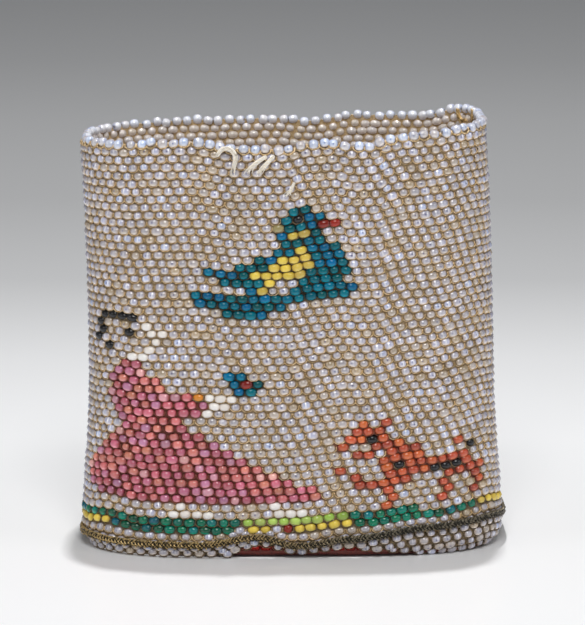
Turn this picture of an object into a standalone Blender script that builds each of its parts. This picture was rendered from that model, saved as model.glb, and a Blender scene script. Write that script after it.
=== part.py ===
"""Bead-woven pouch: an open, unlined tube of glass beads with a braided foot and a red bead base.

Units are metres, +Z is up, the front faces -Y and the origin is the middle of the floor contact.
The beadwork is laid out as a chart: columns run round the pouch from the front middle towards +X,
rows run up the wall. Row 1 is the lower foot band, row 2 the upper one, and RIM_ROW is the rim.
"""

import functools
import math

import bmesh
import bpy

MM = 0.001

# Beadwork counts
BEAD_COLUMNS = 98
RIM_ROW = 50
BAND_TOP_ROW = 2

# Wall sizes, measured at the middle of the bead layer
WALL_HEIGHT = 100.0 * MM
BODY_WIDTH = 97.4 * MM
BODY_DEPTH = 51.4 * MM
MOUTH_NARROWING = 1.4 * MM
FOOT_FLARE = 4.6 * MM
FOOT_FLARE_DEPTH = 0.6 * MM
FOOT_FLARE_REACH = 24.0 * MM
CORNER_SQUARENESS = 3.3
MOUTH_LEAN = 2.2 * MM

# Bead layer: a ridge for each row of beads, with the thread web behind it
BEAD_CREST = 1.0 * MM
BEAD_VALLEY = 0.42 * MM
LAYER_BACK = 0.9 * MM
CLEARANCE = 0.3 * MM
INLAY_BACK = 0.05 * MM
POCKET_EASE = 0.04 * MM
POCKET_REACH = 3.0 * MM

# Hem that curls under the pouch
CURL_INSET = 3.0 * MM
CURL_HEIGHT = 5.0 * MM
HEM_RADIUS = 0.9 * MM

# Rim beads, braid and base
RIM_BEAD_RADIUS = 1.2 * MM
RIM_NECK_RADIUS = 0.75 * MM
BRAID_HALF_HEIGHT = 0.8 * MM
BRAID_HALF_DEPTH = 0.6 * MM
BRAID_WAVE = 0.12 * MM
BRAID_PLAITS = 28
BASE_THICKNESS = 2.0 * MM
BASE_DOME = 0.7 * MM
BASE_DOME_INSET = 6.0 * MM

# Loose thread ends at the front of the rim, as routes of (column, row) places on the chart
THREAD_RADIUS = 0.35 * MM
THREAD_POINTS = 12
THREAD_LOOP_ROUTE = ((-5.9, 49.0), (-5.4, 49.9), (-4.7, 50.0), (-4.3, 49.2), (-4.5, 47.9), (-4.7, 46.9))
THREAD_PAIR_LEFT_ROUTE = ((-1.6, 49.2), (-2.2, 48.7), (-2.8, 48.0), (-3.3, 47.2))
THREAD_PAIR_RIGHT_ROUTE = ((-0.9, 49.3), (-1.3, 48.7), (-1.8, 48.0), (-2.3, 47.0))
THREAD_FRAY_ROUTE = ((0.8, 45.7), (0.5, 45.0), (0.1, 44.4))

# Facets round the pouch. A pocket's facets start a little after the wall's, so no edges coincide
POCKET_FACET_SHIFT = 0.13
WALL_SEGMENTS = 28
RIM_SIDES = 5
BRAID_SIDES = 6
THREAD_RESOLUTION = 2

# Lines round the pouch, as (way round from the front middle, height): the foot band and the braid
# above the floor, the hem above its resting height and the rim above the wall's own height
FOOT_BAND_LINE = (
    (-0.245, 6.2 * MM), (-0.204, 7.2 * MM), (-0.168, 8.0 * MM), (-0.133, 7.0 * MM),
    (-0.061, 6.9 * MM), (0.0, 7.4 * MM), (0.061, 8.9 * MM), (0.122, 10.7 * MM),
    (0.184, 12.6 * MM), (0.214, 11.4 * MM), (0.245, 9.8 * MM), (0.37, 8.6 * MM),
    (0.5, 8.0 * MM), (0.63, 7.0 * MM),
)
BRAID_LINE = (
    (-0.245, 3.4 * MM), (-0.194, 4.2 * MM), (-0.133, 3.4 * MM), (-0.082, 3.5 * MM),
    (-0.031, 5.6 * MM), (0.005, 3.4 * MM), (0.051, 5.2 * MM), (0.122, 7.6 * MM),
    (0.184, 8.6 * MM), (0.214, 7.6 * MM), (0.245, 6.2 * MM), (0.37, 5.2 * MM),
    (0.5, 4.6 * MM), (0.63, 3.8 * MM),
)
HEM_LIFT_LINE = (
    (-0.245, 0.0), (-0.09, 0.0), (-0.056, 0.3 * MM), (-0.036, 2.5 * MM), (-0.015, 2.1 * MM),
    (0.005, 0.7 * MM), (0.026, 1.4 * MM), (0.051, 2.1 * MM), (0.082, 1.3 * MM), (0.112, 0.2 * MM),
    (0.133, 0.0), (0.5, 0.0),
)
RIM_LINE = (
    (-0.245, -1.3 * MM), (-0.184, -1.0 * MM), (-0.153, -0.9 * MM), (-0.112, -0.2 * MM),
    (-0.088, 0.1 * MM), (-0.036, -1.5 * MM), (0.0, -1.6 * MM), (0.022, -0.4 * MM),
    (0.046, 0.0 * MM), (0.063, -0.9 * MM), (0.084, -0.8 * MM), (0.095, 0.5 * MM),
    (0.112, 1.3 * MM), (0.188, 2.6 * MM), (0.245, 2.9 * MM), (0.316, 3.0 * MM),
    (0.367, 0.5 * MM), (0.43, 0.4 * MM), (0.474, -1.1 * MM), (0.51, -0.5 * MM),
    (0.59, -0.9 * MM), (0.633, -1.3 * MM), (0.684, -1.8 * MM),
)

# Colour fields, as outlines on the bead chart: (column, row)
BIRD_OUTLINE = (
    (-0.1, 42.5), (2.3, 42.5), (3.5, 41.5), (2.8, 40.2), (3.4, 38.4), (5.0, 36.8), (5.7, 34.0),
    (5.4, 30.5), (-0.2, 30.5), (-1.9, 28.5), (-6.0, 28.5), (-8.7, 29.6), (-8.9, 31.5), (-4.0, 31.6),
    (-5.9, 32.5), (-7.7, 33.6), (-7.7, 34.5), (-4.9, 35.4), (-1.4, 37.4), (-0.7, 38.5), (-1.2, 39.5),
    (-0.7, 41.5),
)
BIRD_WING = (
    (0.7, 37.5), (2.8, 37.5), (2.4, 34.6), (1.3, 32.2), (-2.0, 32.2), (-3.6, 33.5), (-3.3, 34.5),
    (-0.9, 36.4),
)
BIRD_EYE = ((0.4, 41.5), (1.4, 41.5), (1.4, 40.5), (0.4, 40.5))
BIRD_BEAK = ((3.7, 40.5), (5.3, 40.5), (5.3, 39.5), (3.5, 39.5))
FLOWER_OUTLINE = (
    (-5.9, 22.1), (-4.0, 22.1), (-2.7, 20.9), (-3.3, 18.7), (-5.2, 18.7), (-5.8, 20.2),
)
FLOWER_CENTRE = ((-4.7, 20.9), (-3.7, 20.9), (-3.7, 19.9), (-4.7, 19.9))
HAIR_OUTLINE = (
    (-18.1, 28.5), (-14.2, 28.5), (-14.2, 25.5), (-15.8, 25.5), (-15.9, 23.5), (-17.0, 23.5),
    (-18.7, 24.5),
)
FACE_OUTLINE = ((-13.9, 27.5), (-11.9, 27.5), (-10.8, 25.5), (-11.6, 22.7), (-15.2, 22.7), (-13.9, 25.2))
GOWN_OUTLINE = (
    (-16.1, 22.4), (-14.0, 22.4), (-12.2, 20.8), (-10.2, 19.0), (-7.9, 18.6), (-7.7, 16.5), (-9.8, 15.5),
    (-9.7, 14.5), (-8.0, 13.5), (-3.9, 10.5), (0.0, 7.7), (2.9, 5.6), (2.9, 4.6), (-17.6, 4.5),
    (-19.8, 6.3), (-17.2, 10.5), (-15.3, 13.6), (-17.2, 18.5), (-17.2, 20.5),
)
HAND_OUTLINE = ((-7.4, 18.5), (-5.2, 19.0), (-5.2, 17.5), (-7.2, 16.5))
LEFT_SHOE = ((-11.0, 4.2), (-9.4, 4.2), (-9.4, 3.3), (-6.4, 3.3), (-6.4, 2.7), (-10.5, 2.7))
RIGHT_SHOE = ((-2.9, 4.2), (-1.0, 4.2), (-0.6, 3.3), (1.8, 3.3), (1.8, 2.7), (-2.6, 2.7))
DOG_OUTLINE = (
    (6.5, 13.5), (9.3, 13.5), (9.3, 11.6), (10.6, 10.5), (12.0, 9.4), (12.8, 8.6), (16.2, 8.4),
    (17.7, 6.4), (17.5, 3.3), (16.4, 3.3), (16.1, 5.3), (14.8, 5.5), (14.3, 3.4), (13.0, 3.4),
    (13.0, 5.4), (9.5, 5.2), (9.3, 3.4), (8.0, 3.4), (8.0, 5.2), (6.2, 5.4), (6.1, 6.6), (8.4, 7.2),
    (8.2, 8.6), (5.6, 9.3), (4.5, 10.3), (5.1, 11.6),
)
DOG_EYE = ((7.2, 12.0), (8.2, 12.0), (8.2, 11.0), (7.2, 11.0))
DOG_COLLAR = ((8.8, 7.9), (12.4, 7.9), (12.4, 7.1), (8.8, 7.1))
DOG_TAIL = ((14.6, 10.0), (15.7, 10.0), (15.9, 8.8), (14.8, 8.8))
BAND_START = -22.0
BAND_END = 22.4
BAND_LIME_START = -4.7
BAND_LIME_END = 5.3
LOWER_YELLOW_LEFT_END = -16.4
LOWER_YELLOW_START = -5.5
LOWER_GREEN_START = 5.4
LOWER_YELLOW_RIGHT_START = 16.3

# Finishes: base colour, roughness, metallic
OPAL = ((0.62, 0.57, 0.58), 0.25, 0.0)
OPAL_RIM = ((0.70, 0.68, 0.72), 0.2, 0.0)
BLUE = ((0.01, 0.22, 0.30), 0.2, 0.0)
YELLOW = ((0.80, 0.55, 0.09), 0.3, 0.0)
RED = ((0.42, 0.03, 0.02), 0.2, 0.0)
BLACK = ((0.012, 0.012, 0.014), 0.15, 0.0)
WHITE = ((0.85, 0.83, 0.80), 0.25, 0.0)
PINK = ((0.70, 0.20, 0.27), 0.3, 0.0)
AMBER = ((0.70, 0.22, 0.03), 0.2, 0.0)
ORANGE = ((0.62, 0.12, 0.04), 0.25, 0.0)
GREEN = ((0.01, 0.20, 0.12), 0.2, 0.0)
LIME = ((0.36, 0.55, 0.08), 0.3, 0.0)
BASE_RED = ((0.30, 0.02, 0.02), 0.15, 0.0)
METAL_THREAD = ((0.16, 0.13, 0.09), 0.45, 0.8)
LINEN = ((0.80, 0.72, 0.58), 0.8, 0.0)


def clear_scene():
    for item in list(bpy.data.objects):
        bpy.data.objects.remove(item, do_unlink=True)


def finish(name, look):
    colour, roughness, metallic = look
    material = bpy.data.materials.new(name + "_finish")
    material.use_nodes = True
    shader = material.node_tree.nodes["Principled BSDF"]
    shader.inputs["Base Color"].default_value = (*colour, 1.0)
    shader.inputs["Roughness"].default_value = roughness
    shader.inputs["Metallic"].default_value = metallic
    return material


def add_object(name, shape, look):
    bmesh.ops.recalc_face_normals(shape, faces=shape.faces[:])
    if shape.calc_volume(signed=True) < 0:
        bmesh.ops.reverse_faces(shape, faces=shape.faces[:])
    mesh = bpy.data.meshes.new(name)
    shape.to_mesh(mesh)
    shape.free()
    item = bpy.data.objects.new(name, mesh)
    mesh.materials.append(finish(name, look))
    bpy.context.scene.collection.objects.link(item)
    return item


# Placing things on the wall


def blend(amount):
    """Smooth step between 0 and 1."""
    amount = min(1.0, max(0.0, amount))
    return amount * amount * (3.0 - 2.0 * amount)


def line_height(line, way):
    """Height of a line round the pouch, eased between its points."""
    way = way % 1.0
    points = sorted((point_way % 1.0, height) for point_way, height in line)
    before = [(points[-1][0] - 1.0, points[-1][1])]
    after = [(points[0][0] + 1.0, points[0][1])]
    points = before + points + after
    for (start, low), (end, high) in zip(points, points[1:]):
        if start <= way <= end:
            return low + (high - low) * blend((way - start) / (end - start))
    return points[0][1]


def row_height(column, row):
    """Height of a chart row. Row -1 is the braid and row -3 the hem."""
    way = column / BEAD_COLUMNS
    band = line_height(FOOT_BAND_LINE, way)
    braid = line_height(BRAID_LINE, way)
    if row >= 1:
        rim = WALL_HEIGHT + line_height(RIM_LINE, way)
        return band + (row - 1) * (rim - band) / (RIM_ROW - 1)
    if row >= -1:
        return braid + (band - braid) * (row + 1) / 2
    hem = HEM_RADIUS + line_height(HEM_LIFT_LINE, way)
    return hem + (braid - hem) * (row + 3) / 2


def half_sizes(height):
    """Half width and half depth of the bead layer's middle at a height."""
    rise = blend(height / WALL_HEIGHT)
    flare = math.exp(-((height / FOOT_FLARE_REACH) ** 2))
    width = BODY_WIDTH - MOUTH_NARROWING * rise + FOOT_FLARE * flare
    depth = BODY_DEPTH + FOOT_FLARE_DEPTH * flare
    return width / 2, depth / 2


def outline_point(half_width, half_depth, turn):
    power = 2.0 / CORNER_SQUARENESS
    x = math.copysign(abs(math.cos(turn)) ** power, math.cos(turn)) * half_width
    y = math.copysign(abs(math.sin(turn)) ** power, math.sin(turn)) * half_depth
    return x, y


def curl_inset(height):
    """How far the hem has curled in at a height."""
    return CURL_INSET * max(0.0, 1.0 - height / CURL_HEIGHT) ** 2


OUTLINE_STEPS = 480


@functools.cache
def way_table():
    """Ways round the body's plan outline from the front middle, their turns and the whole length."""
    turns = [-math.pi / 2 + 2 * math.pi * i / OUTLINE_STEPS for i in range(OUTLINE_STEPS + 1)]
    points = [outline_point(BODY_WIDTH / 2, BODY_DEPTH / 2, turn) for turn in turns]
    lengths = [0.0]
    for start, end in zip(points, points[1:]):
        lengths.append(lengths[-1] + math.dist(start, end))
    return [length / lengths[-1] for length in lengths], turns, lengths[-1]


def turn_of(way):
    """Outline parameter at a way round the pouch."""
    ways, turns, _ = way_table()
    way = way % 1.0
    low, high = 0, OUTLINE_STEPS
    while high - low > 1:
        middle = (low + high) // 2
        if ways[middle] <= way:
            low = middle
        else:
            high = middle
    share = (way - ways[low]) / (ways[high] - ways[low])
    return turns[low] + (turns[high] - turns[low]) * share


NORMAL_STEP = 0.01


def wall_point(column, row, depth, drop=0.0):
    """Point at a chart place, depth outwards from the bead layer's middle and drop below the row."""
    turn = turn_of(column / BEAD_COLUMNS)
    height = row_height(column, row)
    half_width, half_depth = half_sizes(height)
    x, y = outline_point(half_width, half_depth, turn)
    x0, y0 = outline_point(half_width, half_depth, turn - NORMAL_STEP)
    x1, y1 = outline_point(half_width, half_depth, turn + NORMAL_STEP)
    length = math.hypot(x1 - x0, y1 - y0)
    reach = depth - curl_inset(height)
    lean = -MOUTH_LEAN * max(0.0, height / WALL_HEIGHT) ** 3
    x += lean + reach * (y1 - y0) / length
    y -= reach * (x1 - x0) / length
    return x, y, height - drop


def facet_point(column, row, depth, drop=0.0):
    """Point on the wall's flat facets, between the two facet edges beside its column."""
    step = BEAD_COLUMNS / WALL_SEGMENTS
    first = math.floor(column / step)
    share = column / step - first
    start = wall_point(first * step, row, depth, drop)
    end = wall_point((first + 1) * step, row, depth, drop)
    return tuple(a + (b - a) * share for a, b in zip(start, end))


def ridge_depth(row):
    """Outer surface of the beads: a crest along the middle of each row, a valley between rows."""
    off_crest = abs(row - round(row)) * 2.0
    return BEAD_CREST - (BEAD_CREST - BEAD_VALLEY) * off_crest


def ring_solid(name, rings, segments, look):
    """Closed ring solid whose section is a loop of (row, depth, drop) places on the chart."""
    shape = bmesh.new()
    bmesh.ops.create_grid(shape, x_segments=segments, y_segments=len(rings), size=1.0)
    for vertex in shape.verts:
        column = (vertex.co.x + 1.0) / 2.0 * BEAD_COLUMNS
        ring = round((vertex.co.y + 1.0) / 2.0 * len(rings)) % len(rings)
        row, depth, drop = rings[ring]
        vertex.co = wall_point(column, row, depth, drop)
    bmesh.ops.remove_doubles(shape, verts=shape.verts[:], dist=1e-6)
    return add_object(name, shape, look)


def beadwork_wall():
    """Woven tube: ridged outside, smooth inside, curled in at the hem."""
    row_step = WALL_HEIGHT / RIM_ROW
    top_drop = RIM_BEAD_RADIUS + CLEARANCE
    lip_row = RIM_ROW - 1 + 0.5 * max(0.0, 1.0 - top_drop / row_step)
    rings = [(RIM_ROW, -LAYER_BACK, top_drop), (RIM_ROW, BEAD_VALLEY, top_drop)]
    for row in range(RIM_ROW - 1, -1, -1):
        if row + 0.5 < lip_row:
            rings.append((row + 0.5, BEAD_VALLEY, 0.0))
        rings.append((row, BEAD_CREST, 0.0))
    rings.append((-0.5, BEAD_VALLEY, 0.0))
    rings.append((-1.0, BEAD_VALLEY, 0.0))
    rings.append((-1.5, BEAD_VALLEY, 0.0))
    rings.append((-2.0, BEAD_CREST, 0.0))
    rings.append((-2.5, BEAD_VALLEY, 0.0))
    rings.append((-3.0, BEAD_CREST, 0.0))
    rings.append((-3.0, 0.0, HEM_RADIUS))
    rings.append((-3.0, -LAYER_BACK, 0.0))
    rings.append((-2.0, -LAYER_BACK, 0.0))
    rings.append((0.0, -LAYER_BACK, 0.0))
    for share in (0.1, 0.3, 0.6):
        rings.append((round(RIM_ROW * share), -LAYER_BACK, 0.0))
    return ring_solid("beadwork_wall", rings, WALL_SEGMENTS, OPAL)


def beaded_ring(name, centre, beads, sides, neck, belly, look):
    """Round of beads fused at their necks. Its centre line is centre(column)."""
    shape = bmesh.new()
    bmesh.ops.create_grid(shape, x_segments=2 * beads, y_segments=sides, size=1.0)
    for vertex in shape.verts:
        station = round((vertex.co.x + 1.0) * beads)
        side = round((vertex.co.y + 1.0) / 2.0 * sides) % sides
        angle = 2 * math.pi * side / sides
        radius = belly if station % 2 else neck
        column = station / (2 * beads) * BEAD_COLUMNS
        vertex.co = centre(column, radius * math.cos(angle), radius * math.sin(angle))
    bmesh.ops.remove_doubles(shape, verts=shape.verts[:], dist=1e-6)
    return add_object(name, shape, look)


def rim_beads():
    def centre(column, out, up):
        return facet_point(column, RIM_ROW, out, -up)

    return beaded_ring("rim_beads", centre, BEAD_COLUMNS, RIM_SIDES, RIM_NECK_RADIUS, RIM_BEAD_RADIUS, OPAL_RIM)


def metal_thread_braid():
    """Flat oval plait that waves a little up and down, sewn on outside the bead layer."""
    seat = BEAD_VALLEY + CLEARANCE + BRAID_HALF_DEPTH

    def centre(column, out, up):
        flat = out * BRAID_HALF_DEPTH / BRAID_HALF_HEIGHT
        return facet_point(column, -1.0, seat + flat, -up)

    waist = BRAID_HALF_HEIGHT - BRAID_WAVE
    return beaded_ring(
        "metal_thread_braid", centre, BRAID_PLAITS, BRAID_SIDES, waist, BRAID_HALF_HEIGHT, METAL_THREAD
    )


def thread_end(name, route):
    """Frayed thread lying against the beads, on a smooth curve through its route."""
    seat = BEAD_CREST + CLEARANCE + THREAD_RADIUS
    curve = bpy.data.curves.new(name, "CURVE")
    curve.dimensions = "3D"
    curve.bevel_depth = THREAD_RADIUS
    curve.bevel_resolution = THREAD_RESOLUTION
    curve.use_fill_caps = True
    spline = curve.splines.new("POLY")
    spline.points.add(THREAD_POINTS - 1)
    for index, point in enumerate(spline.points):
        column, row = smooth_place(route, index / (THREAD_POINTS - 1))
        point.co = (*facet_point(column, row, seat), 1.0)
    item = bpy.data.objects.new(name, curve)
    curve.materials.append(finish(name, LINEN))
    bpy.context.scene.collection.objects.link(item)
    return item


def smooth_place(route, share):
    """Place on the smooth curve that passes through the route's points."""
    place = share * (len(route) - 1)
    index = min(int(place), len(route) - 2)
    t = place - index
    p0 = route[max(index - 1, 0)]
    p1, p2 = route[index], route[index + 1]
    p3 = route[min(index + 2, len(route) - 1)]
    return tuple(
        0.5 * (2 * b + (c - a) * t + (2 * a - 5 * b + 4 * c - d) * t * t + (3 * b - a - 3 * c + d) * t**3)
        for a, b, c, d in zip(p0, p1, p2, p3)
    )


def red_bead_base():
    """Bottom panel inside the hem, flat where it rests and slightly domed above."""
    inset = curl_inset(HEM_RADIUS) + LAYER_BACK + CLEARANCE
    shape = bmesh.new()
    bmesh.ops.create_circle(shape, cap_ends=True, segments=WALL_SEGMENTS, radius=1.0)
    for index, vertex in enumerate(shape.verts):
        column = BEAD_COLUMNS * index / WALL_SEGMENTS
        turn = turn_of(column / BEAD_COLUMNS)
        half_width, half_depth = half_sizes(HEM_RADIUS)
        vertex.co = (*outline_point(half_width - inset, half_depth - inset, turn), 0.0)
    floor_face = shape.faces[:]
    raised = bmesh.ops.extrude_face_region(shape, geom=floor_face)
    top = [item for item in raised["geom"] if isinstance(item, bmesh.types.BMVert)]
    bmesh.ops.translate(shape, verts=top, vec=(0.0, 0.0, BASE_THICKNESS))
    top_face = [item for item in raised["geom"] if isinstance(item, bmesh.types.BMFace)]
    bmesh.ops.inset_region(shape, faces=top_face, thickness=BASE_DOME_INSET, depth=0.0)
    for face in top_face:
        for vertex in face.verts:
            vertex.co.z += BASE_DOME
    return add_object("red_bead_base", shape, BASE_RED)


# Colour fields


def row_pitch():
    return WALL_HEIGHT / RIM_ROW


def column_pitch():
    return way_table()[2] / BEAD_COLUMNS


SHARP_CORNER_LIMIT = 0.35


def offset_outline(outline, amount):
    """Outline moved sideways by a real distance, outwards for a positive amount on either winding."""
    wide, tall = column_pitch(), row_pitch()
    points = [(column * wide, row * tall) for column, row in outline]
    area = sum(x0 * y1 - x1 * y0 for (x0, y0), (x1, y1) in zip(points, points[1:] + points[:1]))
    side = amount if area > 0 else -amount
    moved = []
    for index, (x, y) in enumerate(points):
        x0, y0 = points[index - 1]
        x1, y1 = points[(index + 1) % len(points)]
        ax, ay = unit(x - x0, y - y0)
        bx, by = unit(x1 - x, y1 - y)
        nx, ny = unit(ay + by, -ax - bx)
        reach = side / max(SHARP_CORNER_LIMIT, nx * ay - ny * ax)
        moved.append(((x + nx * reach) / wide, (y + ny * reach) / tall))
    return moved


def unit(x, y):
    length = math.hypot(x, y)
    return x / length, y / length


def chart_sheet(outline, holes):
    """Flat face on the chart, with holes, cut along the wall's facets and bead rows."""
    sheet = bmesh.new()
    for loop in (outline, *holes):
        corners = [sheet.verts.new((column, row, 0.0)) for column, row in loop]
        for start, end in zip(corners, corners[1:] + corners[:1]):
            sheet.edges.new((start, end))
    bmesh.ops.triangle_fill(sheet, use_beauty=True, edges=sheet.edges[:])
    bmesh.ops.dissolve_limit(sheet, angle_limit=0.01, verts=sheet.verts[:], edges=sheet.edges[:])
    return sheet


def cut_sheet(sheet, axis, places):
    for place in places:
        spot = [0.0, 0.0, 0.0]
        normal = [0.0, 0.0, 0.0]
        spot[axis] = place
        normal[axis] = 1.0
        geometry = sheet.verts[:] + sheet.edges[:] + sheet.faces[:]
        bmesh.ops.bisect_plane(sheet, geom=geometry, dist=1e-5, plane_co=spot, plane_no=normal)


def facet_columns(outline, shift=0.0):
    step = BEAD_COLUMNS / WALL_SEGMENTS
    first = math.ceil(min(column for column, _ in outline) / step)
    last = math.floor(max(column for column, _ in outline) / step)
    return [number * step + shift for number in range(first, last + 1)]


def ridge_rows(outline):
    first = math.ceil(min(row for _, row in outline) * 2)
    last = math.floor(max(row for _, row in outline) * 2)
    return [number / 2 for number in range(first, last + 1)]


def raise_sheet(sheet, back, front):
    """Turn the chart sheet into a closed solid on the wall between two depths."""
    floor_faces = sheet.faces[:]
    raised = bmesh.ops.extrude_face_region(sheet, geom=floor_faces)
    top = [item for item in raised["geom"] if isinstance(item, bmesh.types.BMVert)]
    bmesh.ops.translate(sheet, verts=top, vec=(0.0, 0.0, 1.0))
    for vertex in sheet.verts:
        column, row, level = vertex.co
        depth = front(row) if level > 0.5 else back
        vertex.co = facet_point(column, row, depth)


def inlay(name, outline, look, holes=()):
    """Field of coloured beads let into the wall, clear of it by CLEARANCE all round."""
    small = offset_outline(outline, -CLEARANCE)
    sheet = chart_sheet(small, holes)
    cut_sheet(sheet, 0, facet_columns(small))
    cut_sheet(sheet, 1, ridge_rows(small))
    raise_sheet(sheet, INLAY_BACK, ridge_depth)
    return add_object(name, sheet, look)


def pocket_cutter(name, outline):
    """Solid that takes the pocket for a motif out of the wall."""
    eased = offset_outline(outline, POCKET_EASE)
    sheet = chart_sheet(eased, ())
    cut_sheet(sheet, 0, facet_columns(eased, POCKET_FACET_SHIFT))
    raise_sheet(sheet, INLAY_BACK - CLEARANCE, lambda row: POCKET_REACH)
    cutter = add_object(name, sheet, LINEN)
    cutter.hide_render = True
    cutter.display_type = "WIRE"
    return cutter


def cut_pocket(wall, outline, name):
    pocket = wall.modifiers.new(name, "BOOLEAN")
    pocket.operation = "DIFFERENCE"
    pocket.solver = "EXACT"
    pocket.object = pocket_cutter(name, outline)


def box_outline(first, last, low, high):
    return ((first, low), (last, low), (last, high), (first, high))


def bird(wall):
    cut_pocket(wall, BIRD_OUTLINE, "bird_pocket")
    cut_pocket(wall, BIRD_BEAK, "beak_pocket")
    inlay("bird_blue_beads", BIRD_OUTLINE, BLUE, holes=(BIRD_WING, BIRD_EYE))
    inlay("bird_wing_yellow_beads", BIRD_WING, YELLOW)
    inlay("bird_beak_red_beads", BIRD_BEAK, RED)
    inlay("bird_eye_black_bead", BIRD_EYE, BLACK)


def flower(wall):
    cut_pocket(wall, FLOWER_OUTLINE, "flower_pocket")
    inlay("flower_blue_beads", FLOWER_OUTLINE, BLUE, holes=(FLOWER_CENTRE,))
    inlay("flower_centre_red_bead", FLOWER_CENTRE, RED)


def lady(wall):
    cut_pocket(wall, HAIR_OUTLINE, "hair_pocket")
    cut_pocket(wall, FACE_OUTLINE, "face_pocket")
    cut_pocket(wall, GOWN_OUTLINE, "gown_pocket")
    cut_pocket(wall, HAND_OUTLINE, "hand_pocket")
    cut_pocket(wall, LEFT_SHOE, "left_shoe_pocket")
    cut_pocket(wall, RIGHT_SHOE, "right_shoe_pocket")
    inlay("lady_hair_black_beads", HAIR_OUTLINE, BLACK)
    inlay("lady_face_white_beads", FACE_OUTLINE, WHITE)
    inlay("gown_pink_beads", GOWN_OUTLINE, PINK)
    inlay("hand_white_beads", HAND_OUTLINE, WHITE)
    inlay("left_shoe_white_beads", LEFT_SHOE, WHITE)
    inlay("right_shoe_white_beads", RIGHT_SHOE, WHITE)


def dog(wall):
    cut_pocket(wall, DOG_OUTLINE, "dog_pocket")
    cut_pocket(wall, DOG_TAIL, "tail_pocket")
    inlay("dog_orange_beads", DOG_OUTLINE, ORANGE, holes=(DOG_COLLAR, DOG_EYE))
    inlay("dog_collar_black_beads", DOG_COLLAR, BLACK)
    inlay("dog_eye_black_bead", DOG_EYE, BLACK)
    inlay("dog_tail_orange_bead", DOG_TAIL, ORANGE)


def foot_bands(wall):
    low, middle, high = 0.5, 1.5, BAND_TOP_ROW + 0.5
    cut_pocket(wall, box_outline(BAND_START, BAND_END, low, high), "band_pocket")
    upper = (
        ("band_upper_green_left", BAND_START, BAND_LIME_START, GREEN),
        ("band_upper_lime", BAND_LIME_START, BAND_LIME_END, LIME),
        ("band_upper_green_right", BAND_LIME_END, BAND_END, GREEN),
    )
    lower = (
        ("band_lower_yellow_left", BAND_START, LOWER_YELLOW_LEFT_END, YELLOW),
        ("band_lower_green_left", LOWER_YELLOW_LEFT_END, LOWER_YELLOW_START, GREEN),
        ("band_lower_yellow_middle", LOWER_YELLOW_START, LOWER_GREEN_START, YELLOW),
        ("band_lower_green_right", LOWER_GREEN_START, LOWER_YELLOW_RIGHT_START, GREEN),
        ("band_lower_yellow_right", LOWER_YELLOW_RIGHT_START, BAND_END, YELLOW),
    )
    for name, first, last, look in upper:
        inlay(name, box_outline(first, last, middle, high), look)
    for name, first, last, look in lower:
        inlay(name, box_outline(first, last, low, middle), look)


def main():
    clear_scene()
    wall = beadwork_wall()
    rim_beads()
    metal_thread_braid()
    red_bead_base()
    thread_end("thread_loop", THREAD_LOOP_ROUTE)
    thread_end("thread_end_left", THREAD_PAIR_LEFT_ROUTE)
    thread_end("thread_end_right", THREAD_PAIR_RIGHT_ROUTE)
    thread_end("thread_fray", THREAD_FRAY_ROUTE)
    bird(wall)
    flower(wall)
    lady(wall)
    dog(wall)
    foot_bands(wall)


main()
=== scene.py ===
"""Looks of the bead-woven pouch: its glass beads, thread, plait and base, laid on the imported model.

Units are metres, +Z is up and the front faces -Y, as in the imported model. Beads are placed on the
model's own chart: columns run round the pouch from the front middle towards +X, and rows run up
the wall, with row -1 at the plait and RIM_ROW at the rim.
"""

import functools
import logging
import math
import random
from collections.abc import Iterable, Sequence
from dataclasses import dataclass, field
from enum import Enum

import bmesh
import bpy
from mathutils import Matrix, Vector, noise


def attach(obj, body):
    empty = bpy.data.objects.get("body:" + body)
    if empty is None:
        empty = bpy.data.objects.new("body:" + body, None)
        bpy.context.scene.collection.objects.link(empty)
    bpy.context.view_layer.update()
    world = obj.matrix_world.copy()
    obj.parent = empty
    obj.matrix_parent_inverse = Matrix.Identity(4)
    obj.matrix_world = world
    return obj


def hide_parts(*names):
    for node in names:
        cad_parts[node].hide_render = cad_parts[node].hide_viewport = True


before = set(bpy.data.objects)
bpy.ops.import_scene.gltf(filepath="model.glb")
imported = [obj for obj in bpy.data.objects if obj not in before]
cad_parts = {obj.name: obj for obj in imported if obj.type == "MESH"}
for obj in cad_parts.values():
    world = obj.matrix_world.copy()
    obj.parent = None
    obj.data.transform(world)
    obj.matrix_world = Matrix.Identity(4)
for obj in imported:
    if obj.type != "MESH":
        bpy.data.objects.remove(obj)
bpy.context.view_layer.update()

LOG = logging.getLogger("pouch")
MM = 0.001

Colour = tuple[float, float, float]
Point = tuple[float, float, float]
Stain = tuple[Colour, float]
Span = tuple[float, float]
Place = tuple[float, float]
Outline = tuple[Place, ...]
Copy = tuple[Matrix, Colour]

# Beadwork counts. The chart has 98 columns, and the beads really come to 95 in a round
CHART_COLUMNS = 98
BEADS_ROUND = 95
RIM_ROW = 50
BAND_ROW = 1
BRAID_ROW = -1
HEM_ROW = -3
COLUMN_STEP = CHART_COLUMNS / BEADS_ROUND
ROW_SHIFT = 0.38
FIRST_SHIFT = 0.542

# How far the beads of a row lag behind an even shift, as (row, beads)
ROW_LAG_LINE = (
    (-6.0, -1.5), (6.0, -1.5), (9.0, -1.15), (13.0, -0.9), (31.0, -0.95), (34.0, -0.62), (38.0, -0.27),
    (42.0, 0.0), (50.0, 0.0),
)

# Bead sizes
BEAD_HALF_LENGTH = 1.17 * MM
BEAD_RADIUS = 1.02 * MM
RIM_BEAD_RADIUS = 1.12 * MM

# Points closer than this are one
MERGE_DISTANCE = 1e-7

# Copies that are joined at a time
BATCH = 80

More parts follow.
